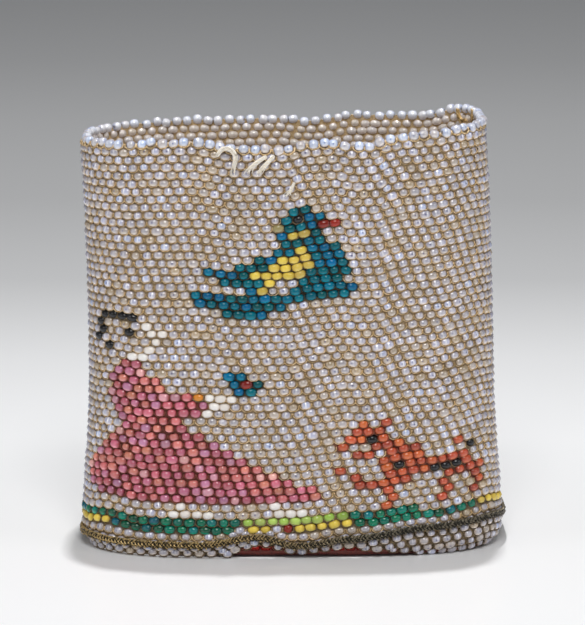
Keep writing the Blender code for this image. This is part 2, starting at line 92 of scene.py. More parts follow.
# Lines round the pouch, as (way round from the front middle, height)
FOOT_BAND_LINE = (
    (-0.245, 6.2), (-0.204, 7.2), (-0.168, 8.0), (-0.133, 7.0), (-0.061, 6.9), (0.0, 7.4), (0.061, 8.9),
    (0.122, 10.7), (0.184, 12.6), (0.214, 11.4), (0.245, 9.8), (0.37, 8.6), (0.5, 8.0), (0.63, 7.0),
)
BRAID_LINE = (
    (-0.245, 2.5), (-0.194, 3.6), (-0.133, 3.4), (-0.082, 3.5), (-0.031, 5.6), (0.005, 3.4), (0.051, 5.2),
    (0.122, 7.6), (0.184, 8.6), (0.214, 7.6), (0.245, 6.2), (0.37, 5.2), (0.5, 4.6), (0.63, 3.8),
)
HEM_LIFT_LINE = (
    (-0.245, 0.0), (-0.09, 0.0), (-0.056, 0.3), (-0.036, 2.5), (-0.015, 2.1), (0.005, 0.7), (0.026, 1.4),
    (0.051, 2.1), (0.082, 1.3), (0.112, 0.2), (0.133, 0.0), (0.5, 0.0),
)
RIM_LINE = (
    (-0.245, -1.3), (-0.184, -1.0), (-0.153, -0.9), (-0.112, -0.2), (-0.088, 0.1), (-0.036, -1.5),
    (0.0, -1.6), (0.022, -0.4), (0.046, 0.0), (0.063, -0.9), (0.084, -0.8), (0.095, 0.5), (0.112, 1.3),
    (0.188, 2.6), (0.245, 2.9), (0.316, 3.0), (0.367, 0.5), (0.43, 0.4), (0.474, -1.1), (0.51, -0.5),
    (0.59, -0.9), (0.633, -1.3), (0.684, -1.8),
)


def blend(amount: float) -> float:
    """Smooth step between 0 and 1."""
    amount = min(1.0, max(0.0, amount))
    return amount * amount * (3.0 - 2.0 * amount)


def wrap(column: float) -> float:
    """Column brought between minus and plus half a round."""
    return (column + CHART_COLUMNS / 2) % CHART_COLUMNS - CHART_COLUMNS / 2


def row_lag(row: float) -> float:
    """How many beads a row lags behind an even shift."""
    for (low, first), (high, last) in zip(ROW_LAG_LINE, ROW_LAG_LINE[1:]):
        if low <= row <= high:
            return first + (last - first) * (row - low) / (high - low)
    return ROW_LAG_LINE[0][1]


@dataclass
class Wall:
    """Shape of the pouch's wall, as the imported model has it, and where a chart place lies on it.

    Attributes:
        height: Height of the rim above the floor, before the rim's own line is added.
        body_width: Width of the bead layer's middle.
        body_depth: Depth of the bead layer's middle.
        mouth_narrowing: How much narrower the mouth is than the body.
        foot_flare: How much wider the foot is than the body.
        foot_flare_depth: How much deeper the foot is than the body.
        foot_flare_reach: Height over which the flare dies away.
        corner_squareness: Power of the plan outline, 2 for an ellipse and more for squarer corners.
        mouth_lean: How far the mouth leans to the left.
        curl_size: How far the hem curls in.
        curl_height: Height over which it does so.
        swell_size: How far the hem swells out again at the left of the front.
        swell_middle: Way round to the middle of the swell.
        swell_reach: Half of the swell's length, as a share of the way round.
        hem_radius: Height of the lowest beads' middle.
        outline_steps: Steps of the table that evens out the way round.
        normal_step: Turn over which the outline's direction is taken.
        seat_step: Columns and rows over which a seat's directions are taken.
    """

    height: float = 100.0 * MM
    body_width: float = 97.4 * MM
    body_depth: float = 51.4 * MM
    mouth_narrowing: float = 1.4 * MM
    foot_flare: float = 4.6 * MM
    foot_flare_depth: float = 0.6 * MM
    foot_flare_reach: float = 24.0 * MM
    corner_squareness: float = 3.3
    mouth_lean: float = 2.2 * MM
    curl_size: float = 3.0 * MM
    curl_height: float = 5.0 * MM
    swell_size: float = 3.2 * MM
    swell_middle: float = -0.12
    swell_reach: float = 0.085
    hem_radius: float = 0.9 * MM
    outline_steps: int = 720
    normal_step: float = 0.01
    seat_step: float = 0.4

    def line_height(self, line: tuple[Place, ...], way: float) -> float:
        """Height of a line round the pouch, eased between its points.

        Args:
            line: The line's points, as (way round, height in millimetres).
            way: Way round from the front middle, 1 for a whole round.

        Returns:
            The height in metres.
        """
        way = way % 1.0
        points = closed_line(line)
        for (start, low), (end, high) in zip(points, points[1:]):
            if start <= way <= end:
                return (low + (high - low) * blend((way - start) / (end - start))) * MM
        return points[0][1] * MM

    def row_height(self, column: float, row: float) -> float:
        """Height of a chart row at a column."""
        way = column / CHART_COLUMNS
        band = self.line_height(FOOT_BAND_LINE, way)
        braid = self.line_height(BRAID_LINE, way)
        if row >= BAND_ROW:
            rim = self.height + self.line_height(RIM_LINE, way)
            return band + (row - BAND_ROW) * (rim - band) / (RIM_ROW - BAND_ROW)
        if row >= BRAID_ROW:
            return braid + (band - braid) * (row - BRAID_ROW) / (BAND_ROW - BRAID_ROW)
        hem = self.hem_radius + self.line_height(HEM_LIFT_LINE, way)
        return hem + (braid - hem) * (row - HEM_ROW) / (BRAID_ROW - HEM_ROW)

    def half_sizes(self, height: float) -> tuple[float, float]:
        """Half width and half depth of the bead layer's middle at a height."""
        rise = blend(height / self.height)
        flare = math.exp(-((height / self.foot_flare_reach) ** 2))
        width = self.body_width - self.mouth_narrowing * rise + self.foot_flare * flare
        depth = self.body_depth + self.foot_flare_depth * flare
        return width / 2, depth / 2

    def outline_point(self, half_width: float, half_depth: float, turn: float) -> Place:
        """Point of the plan outline at a turn."""
        x, y = math.cos(turn), math.sin(turn)
        power = self.corner_squareness
        size = (abs(x) ** power + abs(y) ** power) ** (1.0 / power)
        return x / size * half_width, y / size * half_depth

    def swell_share(self, column: float) -> float:
        """How far the hem swells out at a column, from 0 to 1. It does so at the left of the front."""
        away = wrap(column) / CHART_COLUMNS - self.swell_middle
        return math.exp(-((away / self.swell_reach) ** 4))

    def curl_inset(self, column: float, height: float) -> float:
        """How far the hem has curled in at a column and a height."""
        curl = self.curl_size - self.swell_share(column) * self.swell_size
        return curl * max(0.0, 1.0 - height / self.curl_height) ** 2

    @functools.cached_property
    def way_table(self) -> tuple[list[float], list[float]]:
        """Ways round the plan outline from the front middle, and their turns."""
        steps = self.outline_steps
        turns = [-math.pi / 2 + 2 * math.pi * i / steps for i in range(steps + 1)]
        half_width, half_depth = self.body_width / 2, self.body_depth / 2
        points = [self.outline_point(half_width, half_depth, turn) for turn in turns]
        lengths = [0.0]
        for start, end in zip(points, points[1:]):
            lengths.append(lengths[-1] + math.dist(start, end))
        return [length / lengths[-1] for length in lengths], turns

    def turn_of(self, way: float) -> float:
        """Outline turn at a way round the pouch."""
        ways, turns = self.way_table
        way = way % 1.0
        low, high = 0, self.outline_steps
        while high - low > 1:
            middle = (low + high) // 2
            if ways[middle] <= way:
                low = middle
            else:
                high = middle
        share = (way - ways[low]) / (ways[high] - ways[low])
        return turns[low] + (turns[high] - turns[low]) * share

    def point(self, column: float, row: float, depth: float = 0.0) -> Vector:
        """Point at a chart place, depth outwards from the bead layer's middle."""
        turn = self.turn_of(column / CHART_COLUMNS)
        height = self.row_height(column, row)
        half_width, half_depth = self.half_sizes(height)
        x, y = self.outline_point(half_width, half_depth, turn)
        x0, y0 = self.outline_point(half_width, half_depth, turn - self.normal_step)
        x1, y1 = self.outline_point(half_width, half_depth, turn + self.normal_step)
        length = math.hypot(x1 - x0, y1 - y0)
        reach = depth - self.curl_inset(column, height)
        lean = -self.mouth_lean * max(0.0, height / self.height) ** 3
        x += lean + reach * (y1 - y0) / length
        y -= reach * (x1 - x0) / length
        return Vector((x, y, height))

    def seat(self, column: float, row: float, depth: float = 0.0) -> Matrix:
        """Frame of a thing that sits on the wall: X along the row, Y inwards and Z up the wall.

        Args:
            column: Chart column.
            row: Chart row.
            depth: Distance outwards from the bead layer's middle.

        Returns:
            The matrix from the thing's own space to the model's.
        """
        step = self.seat_step
        centre = self.point(column, row, depth)
        along = self.point(column + step, row, depth) - self.point(column - step, row, depth)
        up = self.point(column, row + step, depth) - self.point(column, row - step, depth)
        along.normalize()
        up = (up - along * up.dot(along)).normalized()
        inwards = up.cross(along)
        turned = Matrix((along, inwards, up)).transposed().to_4x4()
        return Matrix.Translation(centre) @ turned


@functools.cache
def closed_line(line: tuple[Place, ...]) -> list[Place]:
    """Points of a line round the pouch in order, with one repeated past each end."""
    points = sorted((way % 1.0, height) for way, height in line)
    before = [(points[-1][0] - 1.0, points[-1][1])]
    after = [(points[0][0] + 1.0, points[0][1])]
    return before + points + after


WALL = Wall()


# Materials


class Shader:
    """Builds one node material, ending in a Principled shader."""

    def __init__(self, name: str) -> None:
        """Start an empty material with that name."""
        self.material = bpy.data.materials.new(name)
        self.material.use_nodes = True
        self.nodes = self.material.node_tree.nodes
        self.links = self.material.node_tree.links
        self.principled = self.nodes["Principled BSDF"]

    def plug(self, socket: bpy.types.NodeSocket, value: object) -> None:
        """Link a socket to another, or set its constant."""
        if isinstance(value, bpy.types.NodeSocket):
            self.links.new(value, socket)
        elif isinstance(value, tuple) and len(value) == 3 and socket.type == "RGBA":
            socket.default_value = (*value, 1.0)
        else:
            socket.default_value = value

    def math(self, operation: str, first: object, second: object = 0.0) -> bpy.types.NodeSocket:
        """Value of a Math node."""
        node = self.nodes.new("ShaderNodeMath")
        node.operation = operation
        self.plug(node.inputs[0], first)
        self.plug(node.inputs[1], second)
        return node.outputs[0]

    def step(self, value: object, low: float, high: float, top: float = 1.0) -> bpy.types.NodeSocket:
        """Smooth step of a value, from 0 at low to top at high."""
        node = self.nodes.new("ShaderNodeMapRange")
        node.interpolation_type = "SMOOTHSTEP"
        self.plug(node.inputs["Value"], value)
        node.inputs["From Min"].default_value = low
        node.inputs["From Max"].default_value = high
        node.inputs["To Max"].default_value = top
        return node.outputs["Result"]

    def mix(self, factor: object, first: object, second: object) -> bpy.types.NodeSocket:
        """Mix of two colours."""
        node = self.nodes.new("ShaderNodeMix")
        node.data_type = "RGBA"
        self.plug(node.inputs["Factor"], factor)
        colours = [socket for socket in node.inputs if socket.type == "RGBA"]
        self.plug(colours[0], first)
        self.plug(colours[1], second)
        return next(socket for socket in node.outputs if socket.type == "RGBA")

    def scale(self, colour: object, amount: object) -> bpy.types.NodeSocket:
        """Colour made lighter or darker by a value."""
        node = self.nodes.new("ShaderNodeVectorMath")
        node.operation = "SCALE"
        self.plug(node.inputs[0], colour)
        self.plug(node.inputs["Scale"], amount)
        return node.outputs[0]

    def ramp(self, value: object, stops: Sequence[tuple[float, Colour]]) -> bpy.types.NodeSocket:
        """Colour of a ramp at a value."""
        node = self.nodes.new("ShaderNodeValToRGB")
        elements = node.color_ramp.elements
        while len(elements) < len(stops):
            elements.new(0.5)
        for element, (position, colour) in zip(elements, stops):
            element.position = position
            element.color = (*colour, 1.0)
        self.plug(node.inputs["Fac"], value)
        return node.outputs["Color"]

    def attribute(self, name: str) -> tuple[bpy.types.NodeSocket, ...]:
        """The three values of a vertex attribute."""
        node = self.nodes.new("ShaderNodeAttribute")
        node.attribute_name = name
        split = self.nodes.new("ShaderNodeSeparateXYZ")
        self.links.new(node.outputs["Vector"], split.inputs[0])
        return split.outputs["X"], split.outputs["Y"], split.outputs["Z"]

    def position(self) -> tuple[bpy.types.NodeSocket, ...]:
        """The three values of the object's own coordinates."""
        place = self.nodes.new("ShaderNodeTexCoord")
        split = self.nodes.new("ShaderNodeSeparateXYZ")
        self.links.new(place.outputs["Object"], split.inputs[0])
        return split.outputs["X"], split.outputs["Y"], split.outputs["Z"]

    def noise(self, scale: float, detail: float = 2.0) -> bpy.types.NodeSocket:
        """Noise value on the object's own coordinates."""
        place = self.nodes.new("ShaderNodeTexCoord")
        node = self.nodes.new("ShaderNodeTexNoise")
        node.inputs["Scale"].default_value = scale
        node.inputs["Detail"].default_value = detail
        self.links.new(place.outputs["Object"], node.inputs["Vector"])
        return node.outputs[0]

    def bump(self, height: object, strength: float, distance: float) -> None:
        """Bump the surface by a height value."""
        node = self.nodes.new("ShaderNodeBump")
        node.inputs["Strength"].default_value = strength
        node.inputs["Distance"].default_value = distance
        self.plug(node.inputs["Height"], height)
        self.links.new(node.outputs["Normal"], self.principled.inputs["Normal"])

    def surface(self, colour: object, roughness: object, metallic: float = 0.0) -> bpy.types.Material:
        """Set the surface's colour, roughness and metal, and give the material."""
        self.plug(self.principled.inputs["Base Color"], colour)
        self.plug(self.principled.inputs["Roughness"], roughness)
        self.principled.inputs["Metallic"].default_value = metallic
        return self.material


@dataclass(frozen=True)
class BeadMarks:
    """Where a bead's painted light and shade and other marks lie, in half lengths and radii, as (starts, is
    full).

    Attributes:
        ends: The colour at the ends, along the bore: thread seen through opal glass, painted shade on
            coloured glass.
        painted_glow_sides: Where the painted light fades, along the bore.
        painted_glow: The painted light gathered low in the bead, downwards.
        wander: How far the painted highlight and the painted shade of the bore move from bead to bead.
        highlight_streak: Width of the painted highlight.
        highlight_streak_tones: Where the painted highlight grows, along the beads' tones.
        highlight_streak_height: Where the painted highlight starts and is full, upwards.
        spot_aside: How far the spot of painted shade lies beside the painted highlight.
        spot_height: Height of the spot.
        spot_flatness: Share of a height that counts towards the spot's radius.
        spot: Radius of the spot.
        spot_chance: Where the spot grows, along the beads' chances.
        seam: Painted shade where the rows meet, upwards and downwards.
        inner: Painted light on the bead's side towards the pouch's inside, inwards.
        grain: Scale of the glass's fine unevenness.
        grain_strength: Strength of it.
        grain_depth: Depth of it.
    """

    ends: Span = (0.42, 1.0)
    painted_glow_sides: Span = (0.35, 0.95)
    painted_glow: Span = (0.1, 0.7)
    wander: float = 0.9
    highlight_streak: Span = (0.04, 0.24)
    highlight_streak_tones: Span = (0.2, 1.0)
    highlight_streak_height: Span = (-0.7, 0.35)
    spot_aside: float = 0.35
    spot_height: float = 0.12
    spot_flatness: float = 0.8
    spot: Span = (0.05, 0.3)
    spot_chance: Span = (0.25, 1.0)
    seam: Span = (0.68, 0.96)
    inner: Span = (0.0, 0.5)
    grain: float = 1400.0
    grain_strength: float = 0.12
    grain_depth: float = 0.1 * MM


MARKS = BeadMarks()


@dataclass(frozen=True)
class GlassFinish:
    """Finish of one kind of glass bead, drawn on the bead's own coordinates.

    Attributes:
        name: The material's name.
        slot: The record's material slot; not used.
        tones: Colours of the beads, as (share, colour) along a ramp that each bead reads at one place.
        ends: Colour at the bead's ends and how strongly: on opal glass the thread seen through it, on
            coloured glass a painted shade.
        painted_glow: Painted light gathered along the bead's lower side: its colour and how strongly.
        seam: Painted shade at the bead's top and bottom, where the rows meet, and how strongly.
        spot: Painted shade of the dark bore seen through the middle, and how strongly.
        highlight_streak: Painted highlight, a pale line over the bead's middle, and how strongly.
        spread: How far single beads are lighter or darker.
        roughness: Roughness of the glass.
        inner: Painted light, a lighter colour on the bead's side towards the inside of the pouch, and how
            strongly.
        gloss: Strength of the reflections.
        index: Refractive index of the glass.
        thread_shade: How light the thread round these beads is, lower round coloured glass, a painted shade.
        thread_bounce_light: How far that thread takes the painted warm light that these beads throw on it.
        plump: Length and thickness of the beads against plain ones.
    """

    name: str
    slot: str
    tones: tuple[tuple[float, Colour], ...]
    ends: Stain = ((0.25, 0.17, 0.10), 0.0)
    painted_glow: Stain = ((1.0, 0.9, 0.8), 0.0)
    seam: Stain = ((0.10, 0.06, 0.03), 0.6)
    spot: Stain = ((0.10, 0.10, 0.20), 0.0)
    highlight_streak: Stain = ((0.95, 0.93, 0.95), 0.0)
    spread: float = 0.3
    roughness: float = 0.16
    inner: Stain = ((0.66, 0.56, 0.46), 0.0)
    gloss: float = 0.5
    index: float = 1.5
    thread_shade: float = 0.4
    thread_bounce_light: float = 0.0
    plump: tuple[float, float] = (1.15, 1.06)

    def material(self) -> bpy.types.Material:
        """Build the material."""
        shader = Shader(self.name)
        x, y, z = shader.attribute("bead_place")
        shade, hue, chance = shader.attribute("bead_tone")
        colour = shader.ramp(hue, self.tones)
        across = shader.math("ABSOLUTE", x)
        # Ends: on opal glass the thread seen through it; on coloured glass a darker colour, painted shade at
        # the outline.
        colour = self.stain(shader, colour, self.ends, across, MARKS.ends)
        # Painted light gathered along the lower side of the bead, fading towards its ends.
        middle = shader.math("SUBTRACT", 1.0, shader.step(across, *MARKS.painted_glow_sides))
        below = shader.step(shader.math("MULTIPLY", z, -1.0), *MARKS.painted_glow, self.painted_glow[1])
        colour = shader.mix(shader.math("MULTIPLY", below, middle), colour, self.painted_glow[0])
        # Painted highlight: a pale line over the upper middle of the bluer beads, wandering from bead to
        # bead.
        wander = shader.math("MULTIPLY", shader.math("SUBTRACT", chance, 0.5), MARKS.wander)
        offset = shader.math("SUBTRACT", x, wander)
        line = shader.math("SUBTRACT", 1.0, shader.step(shader.math("ABSOLUTE", offset), *MARKS.highlight_streak))
        pale = shader.step(hue, *MARKS.highlight_streak_tones, self.highlight_streak[1])
        pale = shader.math("MULTIPLY", pale, shader.step(z, *MARKS.highlight_streak_height))
        colour = shader.mix(shader.math("MULTIPLY", line, pale), colour, self.highlight_streak[0])
        # Painted shade: a dark spot where the bore shows through the glass, beside the painted highlight.
        aside = shader.math("ADD", offset, MARKS.spot_aside)
        raised = shader.math("MULTIPLY", shader.math("SUBTRACT", z, MARKS.spot_height), MARKS.spot_flatness)
        squares = [shader.math("MULTIPLY", value, value) for value in (aside, raised)]
        away = shader.math("SQRT", shader.math("ADD", *squares))
        spot = shader.math("SUBTRACT", 1.0, shader.step(away, *MARKS.spot))
        lucky = shader.step(chance, *MARKS.spot_chance, self.spot[1])
        colour = shader.mix(shader.math("MULTIPLY", spot, lucky), colour, self.spot[0])
        # Painted shade: darker at the bead's top and bottom, where the rows meet.
        colour = self.stain(shader, colour, self.seam, shader.math("ABSOLUTE", z), MARKS.seam)
        light = shader.math("MULTIPLY_ADD", shade, 2.0 * self.spread)
        light.node.inputs[2].default_value = 1.0 - self.spread
        # Painted light: lighter on the bead's side towards the inside of the pouch.
        colour = self.stain(shader, shader.scale(colour, light), self.inner, y, MARKS.inner)
        shader.bump(shader.noise(MARKS.grain), MARKS.grain_strength, MARKS.grain_depth)
        shader.principled.inputs["Specular IOR Level"].default_value = self.gloss
        shader.principled.inputs["IOR"].default_value = self.index
        return shader.surface(colour, self.roughness)

    def stain(
        self, shader: Shader, colour: object, stain: Stain, value: object, span: Span
    ) -> bpy.types.NodeSocket:
        """Colour with a stain laid over it where a value passes a span."""
        return shader.mix(shader.step(value, *span, stain[1]), colour, stain[0])


# Painted shade where rows of warm beads meet.
WARM_SEAM_SHADE = ((0.30, 0.19, 0.09), 0.7)

OPAL = GlassFinish(
    "opal_glass", "opal_beads",
    tones=(
        (0.0, (0.44, 0.33, 0.20)), (0.06, (0.46, 0.39, 0.33)), (0.2, (0.43, 0.40, 0.43)),
        (0.75, (0.43, 0.42, 0.52)), (0.94, (0.49, 0.50, 0.67)), (1.0, (0.47, 0.57, 0.85)),
    ),
    ends=((0.50, 0.38, 0.26), 0.8), painted_glow=((1.0, 0.87, 0.72), 0.9), seam=WARM_SEAM_SHADE,
    spot=((0.08, 0.08, 0.20), 0.8), highlight_streak=((1.0, 0.99, 1.0), 0.75), spread=0.15, roughness=0.12,
    inner=((0.98, 0.88, 0.78), 0.65), gloss=1.0, index=1.7, thread_shade=1.2, plump=(1.0, 1.0),
)
OPAL_RIM = GlassFinish(
    "opal_rim_glass", "rim_opal_beads",
    tones=((0.0, (0.60, 0.54, 0.52)), (0.4, (0.60, 0.61, 0.69)), (1.0, (0.58, 0.68, 0.90))),
    ends=((0.38, 0.46, 0.72), 0.5), painted_glow=((1.0, 0.94, 0.90), 0.85), seam=((0.26, 0.24, 0.30), 0.45),
    spot=((0.12, 0.17, 0.42), 0.7), highlight_streak=((0.98, 0.98, 1.0), 0.6), spread=0.13, roughness=0.08,
    inner=((0.94, 0.95, 1.0), 0.6), gloss=1.0, index=1.7, thread_shade=1.0,
)
BLUE = GlassFinish(
    "teal_blue_glass", "blue_beads",
    tones=(
        (0.0, (0.0, 0.10, 0.11)), (0.45, (0.0, 0.14, 0.19)), (0.75, (0.0, 0.14, 0.26)),
        (1.0, (0.0, 0.13, 0.32)),
    ),
    ends=((0.0, 0.03, 0.04), 0.85), painted_glow=((0.0, 0.34, 0.44), 0.6), seam=((0.0, 0.008, 0.012), 0.95),
    spread=0.25, gloss=0.35, thread_shade=0.12,
)
YELLOW = GlassFinish(
    "yellow_glass", "yellow_beads",
    tones=((0.0, (0.55, 0.40, 0.10)), (0.3, (0.82, 0.60, 0.09)), (1.0, (0.92, 0.70, 0.11))),
    ends=((0.45, 0.28, 0.03), 0.8), painted_glow=((1.0, 0.86, 0.30), 0.5), seam=((0.10, 0.05, 0.005), 0.95),
    spread=0.14, roughness=0.2, gloss=0.35, thread_shade=0.3,
)
OLIVE = GlassFinish(
    "olive_glass", "yellow_beads",
    tones=((0.0, (0.40, 0.33, 0.14)), (1.0, (0.44, 0.37, 0.17))),
    painted_glow=((0.80, 0.70, 0.45), 0.5), seam=WARM_SEAM_SHADE, thread_shade=0.8,
)
RED = GlassFinish(
    "red_glass", "red_beads",
    tones=((0.0, (0.17, 0.012, 0.01)), (1.0, (0.30, 0.02, 0.01))),
    ends=((0.07, 0.006, 0.006), 0.8), painted_glow=((0.60, 0.07, 0.04), 0.5), seam=((0.03, 0.004, 0.004), 0.85),
)
BLACK = GlassFinish(
    "black_glass", "black_beads",
    tones=((0.0, (0.004, 0.004, 0.006)), (1.0, (0.012, 0.012, 0.014))),
    seam=((0.003, 0.002, 0.002), 0.8), roughness=0.08, thread_shade=0.4,
)
WHITE = GlassFinish(
    "white_glass", "white_beads",
    tones=((0.0, (0.84, 0.78, 0.72)), (1.0, (0.93, 0.91, 0.88))),
    ends=((0.60, 0.48, 0.38), 0.6), painted_glow=((0.97, 0.94, 0.90), 0.4), seam=((0.3, 0.2, 0.1), 0.6), spread=0.05,
    roughness=0.22, thread_shade=0.9,
)
PINK = GlassFinish(
    "pink_glass", "pink_beads",
    tones=(
        (0.0, (0.66, 0.23, 0.15)), (0.22, (0.72, 0.21, 0.19)), (0.45, (0.55, 0.12, 0.15)),
        (0.7, (0.60, 0.15, 0.24)), (0.88, (0.52, 0.22, 0.37)), (1.0, (0.85, 0.44, 0.38)),
    ),
    ends=((0.24, 0.03, 0.025), 0.8), painted_glow=((0.98, 0.46, 0.50), 0.65), seam=((0.035, 0.005, 0.003), 0.95),
    spread=0.26, roughness=0.14, gloss=0.8, thread_shade=0.34, thread_bounce_light=0.85, plump=(1.08, 1.09),
)
ORANGE = GlassFinish(
    "orange_glass", "orange_beads",
    tones=((0.0, (0.42, 0.065, 0.035)), (0.6, (0.56, 0.09, 0.035)), (1.0, (0.68, 0.15, 0.035))),
    ends=((0.17, 0.018, 0.008), 0.85), painted_glow=((0.90, 0.30, 0.14), 0.55), seam=((0.03, 0.005, 0.0), 0.95),
    spread=0.22, gloss=0.7, thread_shade=0.36, thread_bounce_light=0.8,
)
AMBER = GlassFinish(
    "amber_glass", "orange_beads",
    tones=((0.0, (0.60, 0.16, 0.01)), (1.0, (0.75, 0.27, 0.03))), painted_glow=((0.95, 0.50, 0.12), 0.6),
    seam=((0.15, 0.04, 0.0), 0.7), thread_shade=0.6,
)
GREEN = GlassFinish(
    "green_glass", "green_beads",
    tones=(
        (0.0, (0.005, 0.07, 0.035)), (0.4, (0.0, 0.16, 0.08)), (0.75, (0.0, 0.18, 0.14)),
        (1.0, (0.0, 0.13, 0.19)),
    ),
    ends=((0.0, 0.02, 0.015), 0.85), painted_glow=((0.0, 0.48, 0.28), 0.7), seam=((0.0, 0.008, 0.005), 0.95),
    spread=0.35, roughness=0.12, gloss=0.6, thread_shade=0.3,
)
LIME = GlassFinish(
    "lime_glass", "lime_beads",
    tones=((0.0, (0.34, 0.40, 0.09)), (0.5, (0.33, 0.56, 0.08)), (1.0, (0.60, 0.70, 0.20))),
    ends=((0.14, 0.20, 0.04), 0.7), painted_glow=((0.65, 0.78, 0.28), 0.5), seam=((0.06, 0.08, 0.015), 0.85),
    spread=0.2, thread_shade=0.6,
)
BASE_RED = GlassFinish(
    "base_red_glass", "base_red_beads",
    tones=((0.0, (0.16, 0.01, 0.01)), (1.0, (0.38, 0.02, 0.015))),
    painted_glow=((0.70, 0.10, 0.08), 0.5), seam=((0.04, 0.003, 0.003), 0.8), spread=0.35, gloss=0.8,
)


@dataclass(frozen=True)
class ThreadFinish:
    """Finish of a spun thread, drawn on the thread's own coordinates.

    Attributes:
        name: The material's name.
        slot: The record's material slot; not used.
        light: Colour on the strands.
        dark: Colour between the strands, a painted shade, and of the flecks on them.
        twist: Turns of the strands along the thread.
        roughness: Roughness of the fibre.
        metallic: 1 for metal thread.
        gap: How wide the painted shade between the strands is, from -0.9 for narrow.
        grain: Scale of the dark flecks on the strands.
        worn: Colour on the strands towards the right, where it differs.
        worn_reach: Half width of the change between the two colours.
        warm: Painted light, the warm colour that beads throw on a thread that lies between them.
        flecks: Noise values at which a strand is dark and light.
        strand_edge: Value of the strands' wave from which a strand is fully light.
        strand_strength: Strength of the strands' relief.
        strand_depth: Depth of it.
    """

    name: str
    slot: str
    light: Colour
    dark: Colour
    twist: float = 6.0
    roughness: float = 0.8
    metallic: float = 0.0
    gap: float = -0.9
    grain: float = 2200.0
    worn: Colour | None = None
    worn_reach: float = 25.0 * MM
    warm: Colour = (0.80, 0.17, 0.11)
    flecks: Span = (0.3, 0.6)
    strand_edge: float = 0.8
    strand_strength: float = 0.6
    strand_depth: float = 0.06 * MM

    def material(self) -> bpy.types.Material:
        """Build the material."""
        shader = Shader(self.name)
        along, around, _ = shader.attribute("thread_place")
        shade, bounce_share, _ = shader.attribute("thread_tone_and_shading")
        turn = shader.math("ADD", shader.math("MULTIPLY", along, self.twist), around)
        # Painted shade: the dark colour fills the grooves between the strands.
        wave = shader.math("SINE", shader.math("MULTIPLY", turn, 2 * math.pi))
        strand = shader.step(wave, self.gap, self.strand_edge)
        fleck = shader.math("MULTIPLY", strand, shader.step(shader.noise(self.grain), *self.flecks))
        light = self.light
        if self.worn:
            sideways, _, _ = shader.position()
            far = shader.step(sideways, -self.worn_reach, self.worn_reach)
            light = shader.mix(far, self.light, self.worn)
        colour = shader.mix(fleck, self.dark, light)
        # Painted light and shade: the warm light that beads throw on the thread, then its shade, partly
        # random and partly painted.
        colour = shader.scale(shader.mix(bounce_share, colour, self.warm), shade)
        shader.bump(strand, self.strand_strength, self.strand_depth)
        return shader.surface(colour, self.roughness, self.metallic)


# The second colour of each thread is the painted shade between its strands.
TAN_THREAD = ThreadFinish("tan_thread", "linen_thread", (0.88, 0.68, 0.42), (0.46, 0.30, 0.13), 3.0)
LOOSE_LINEN = ThreadFinish("loose_linen", "linen_thread", (1.0, 0.97, 0.91), (0.93, 0.84, 0.70), 6.0)
GOLD_LINEN = ThreadFinish("gold_linen", "linen_thread", (0.92, 0.68, 0.34), (0.50, 0.31, 0.11), 4.0)
METAL_THREAD = ThreadFinish(
    "gilt_thread", "metal_thread", (0.42, 0.295, 0.125), (0.006, 0.005, 0.003),
    twist=0.0, roughness=0.3, metallic=0.5, gap=-0.7, grain=900.0, worn=(0.18, 0.155, 0.11),
    flecks=(0.1, 0.4),
)
RED_THREAD = ThreadFinish("red_thread_web", "base_red_beads", (0.30, 0.05, 0.03), (0.06, 0.01, 0.01))


# Shapes


@dataclass(frozen=True)
class BeadShape:
    """Barrel bead on its bore, along X, in half lengths and radii.

    Attributes:
        sides: Faces round the bore.
        profile: Points from the bore's left edge over the outside to its right edge.
    """

    sides: int = 8
    profile: Outline = (
        (-1.0, 0.28), (-0.91, 0.54), (-0.60, 0.84), (0.0, 1.0), (0.60, 0.84), (0.91, 0.54), (1.0, 0.28)
    )

    def mesh(self, name: str) -> bpy.types.Mesh:
        """Spin the profile and its bore round X into one closed bead."""
        shape = bmesh.new()
        points = [shape.verts.new((x, 0.0, r)) for x, r in self.profile]
        edges = [shape.edges.new(pair) for pair in zip(points, points[1:] + points[:1])]
        bmesh.ops.spin(
            shape, geom=points + edges, cent=(0, 0, 0), axis=(1, 0, 0), dvec=(0, 0, 0),
            angle=2 * math.pi, steps=self.sides, use_merge=True, use_duplicate=False,
        )
        bmesh.ops.recalc_face_normals(shape, faces=shape.faces[:])
        place = shape.verts.layers.float_vector.new("bead_place")
        shape.verts.layers.float_vector.new("bead_tone")
        for vertex in shape.verts:
            vertex[place] = vertex.co
        for face in shape.faces:
            face.smooth = True
        mesh = bpy.data.meshes.new(name)
        shape.to_mesh(mesh)
        shape.free()
        return mesh


def stamp_all(shape: bmesh.types.BMesh, mesh: bpy.types.Mesh, copies: Sequence[Copy], layer: str) -> None:
    """Add copies of a mesh to a shape, a batch at a time, which is quicker than one by one.

    Args:
        shape: The shape that grows.
        mesh: The mesh to copy. Its attribute named layer is overwritten.
        copies: Place and value of each copy.
        layer: Name of the vertex attribute that takes the copy's value.
    """
    for start in range(0, len(copies), BATCH):
        part = bmesh.new()
        for matrix, value in copies[start : start + BATCH]:
            mesh.attributes[layer].data.foreach_set("vector", value * len(mesh.vertices))
            mesh.transform(matrix)
            part.from_mesh(mesh)
            mesh.transform(matrix.inverted())
        append(shape, part)


def random_turn(draw: random.Random, tilt: float, twist: float) -> Matrix:
    """Small random turn of a bead, as spreads about Y and about Z in radians."""
    tilted = Matrix.Rotation(draw.gauss(0, tilt), 4, "Y")
    return tilted @ Matrix.Rotation(draw.gauss(0, twist), 4, "Z")


def thread_layers(shape: bmesh.types.BMesh) -> tuple[bmesh.types.BMLayerItem, bmesh.types.BMLayerItem]:
    """Add the two vertex attributes that a thread's finish reads: its place, and its tone with painted shade
    and light.
    """
    layers = shape.verts.layers.float_vector
    layers.new("thread_place")
    layers.new("thread_tone_and_shading")
    return layers["thread_place"], layers["thread_tone_and_shading"]


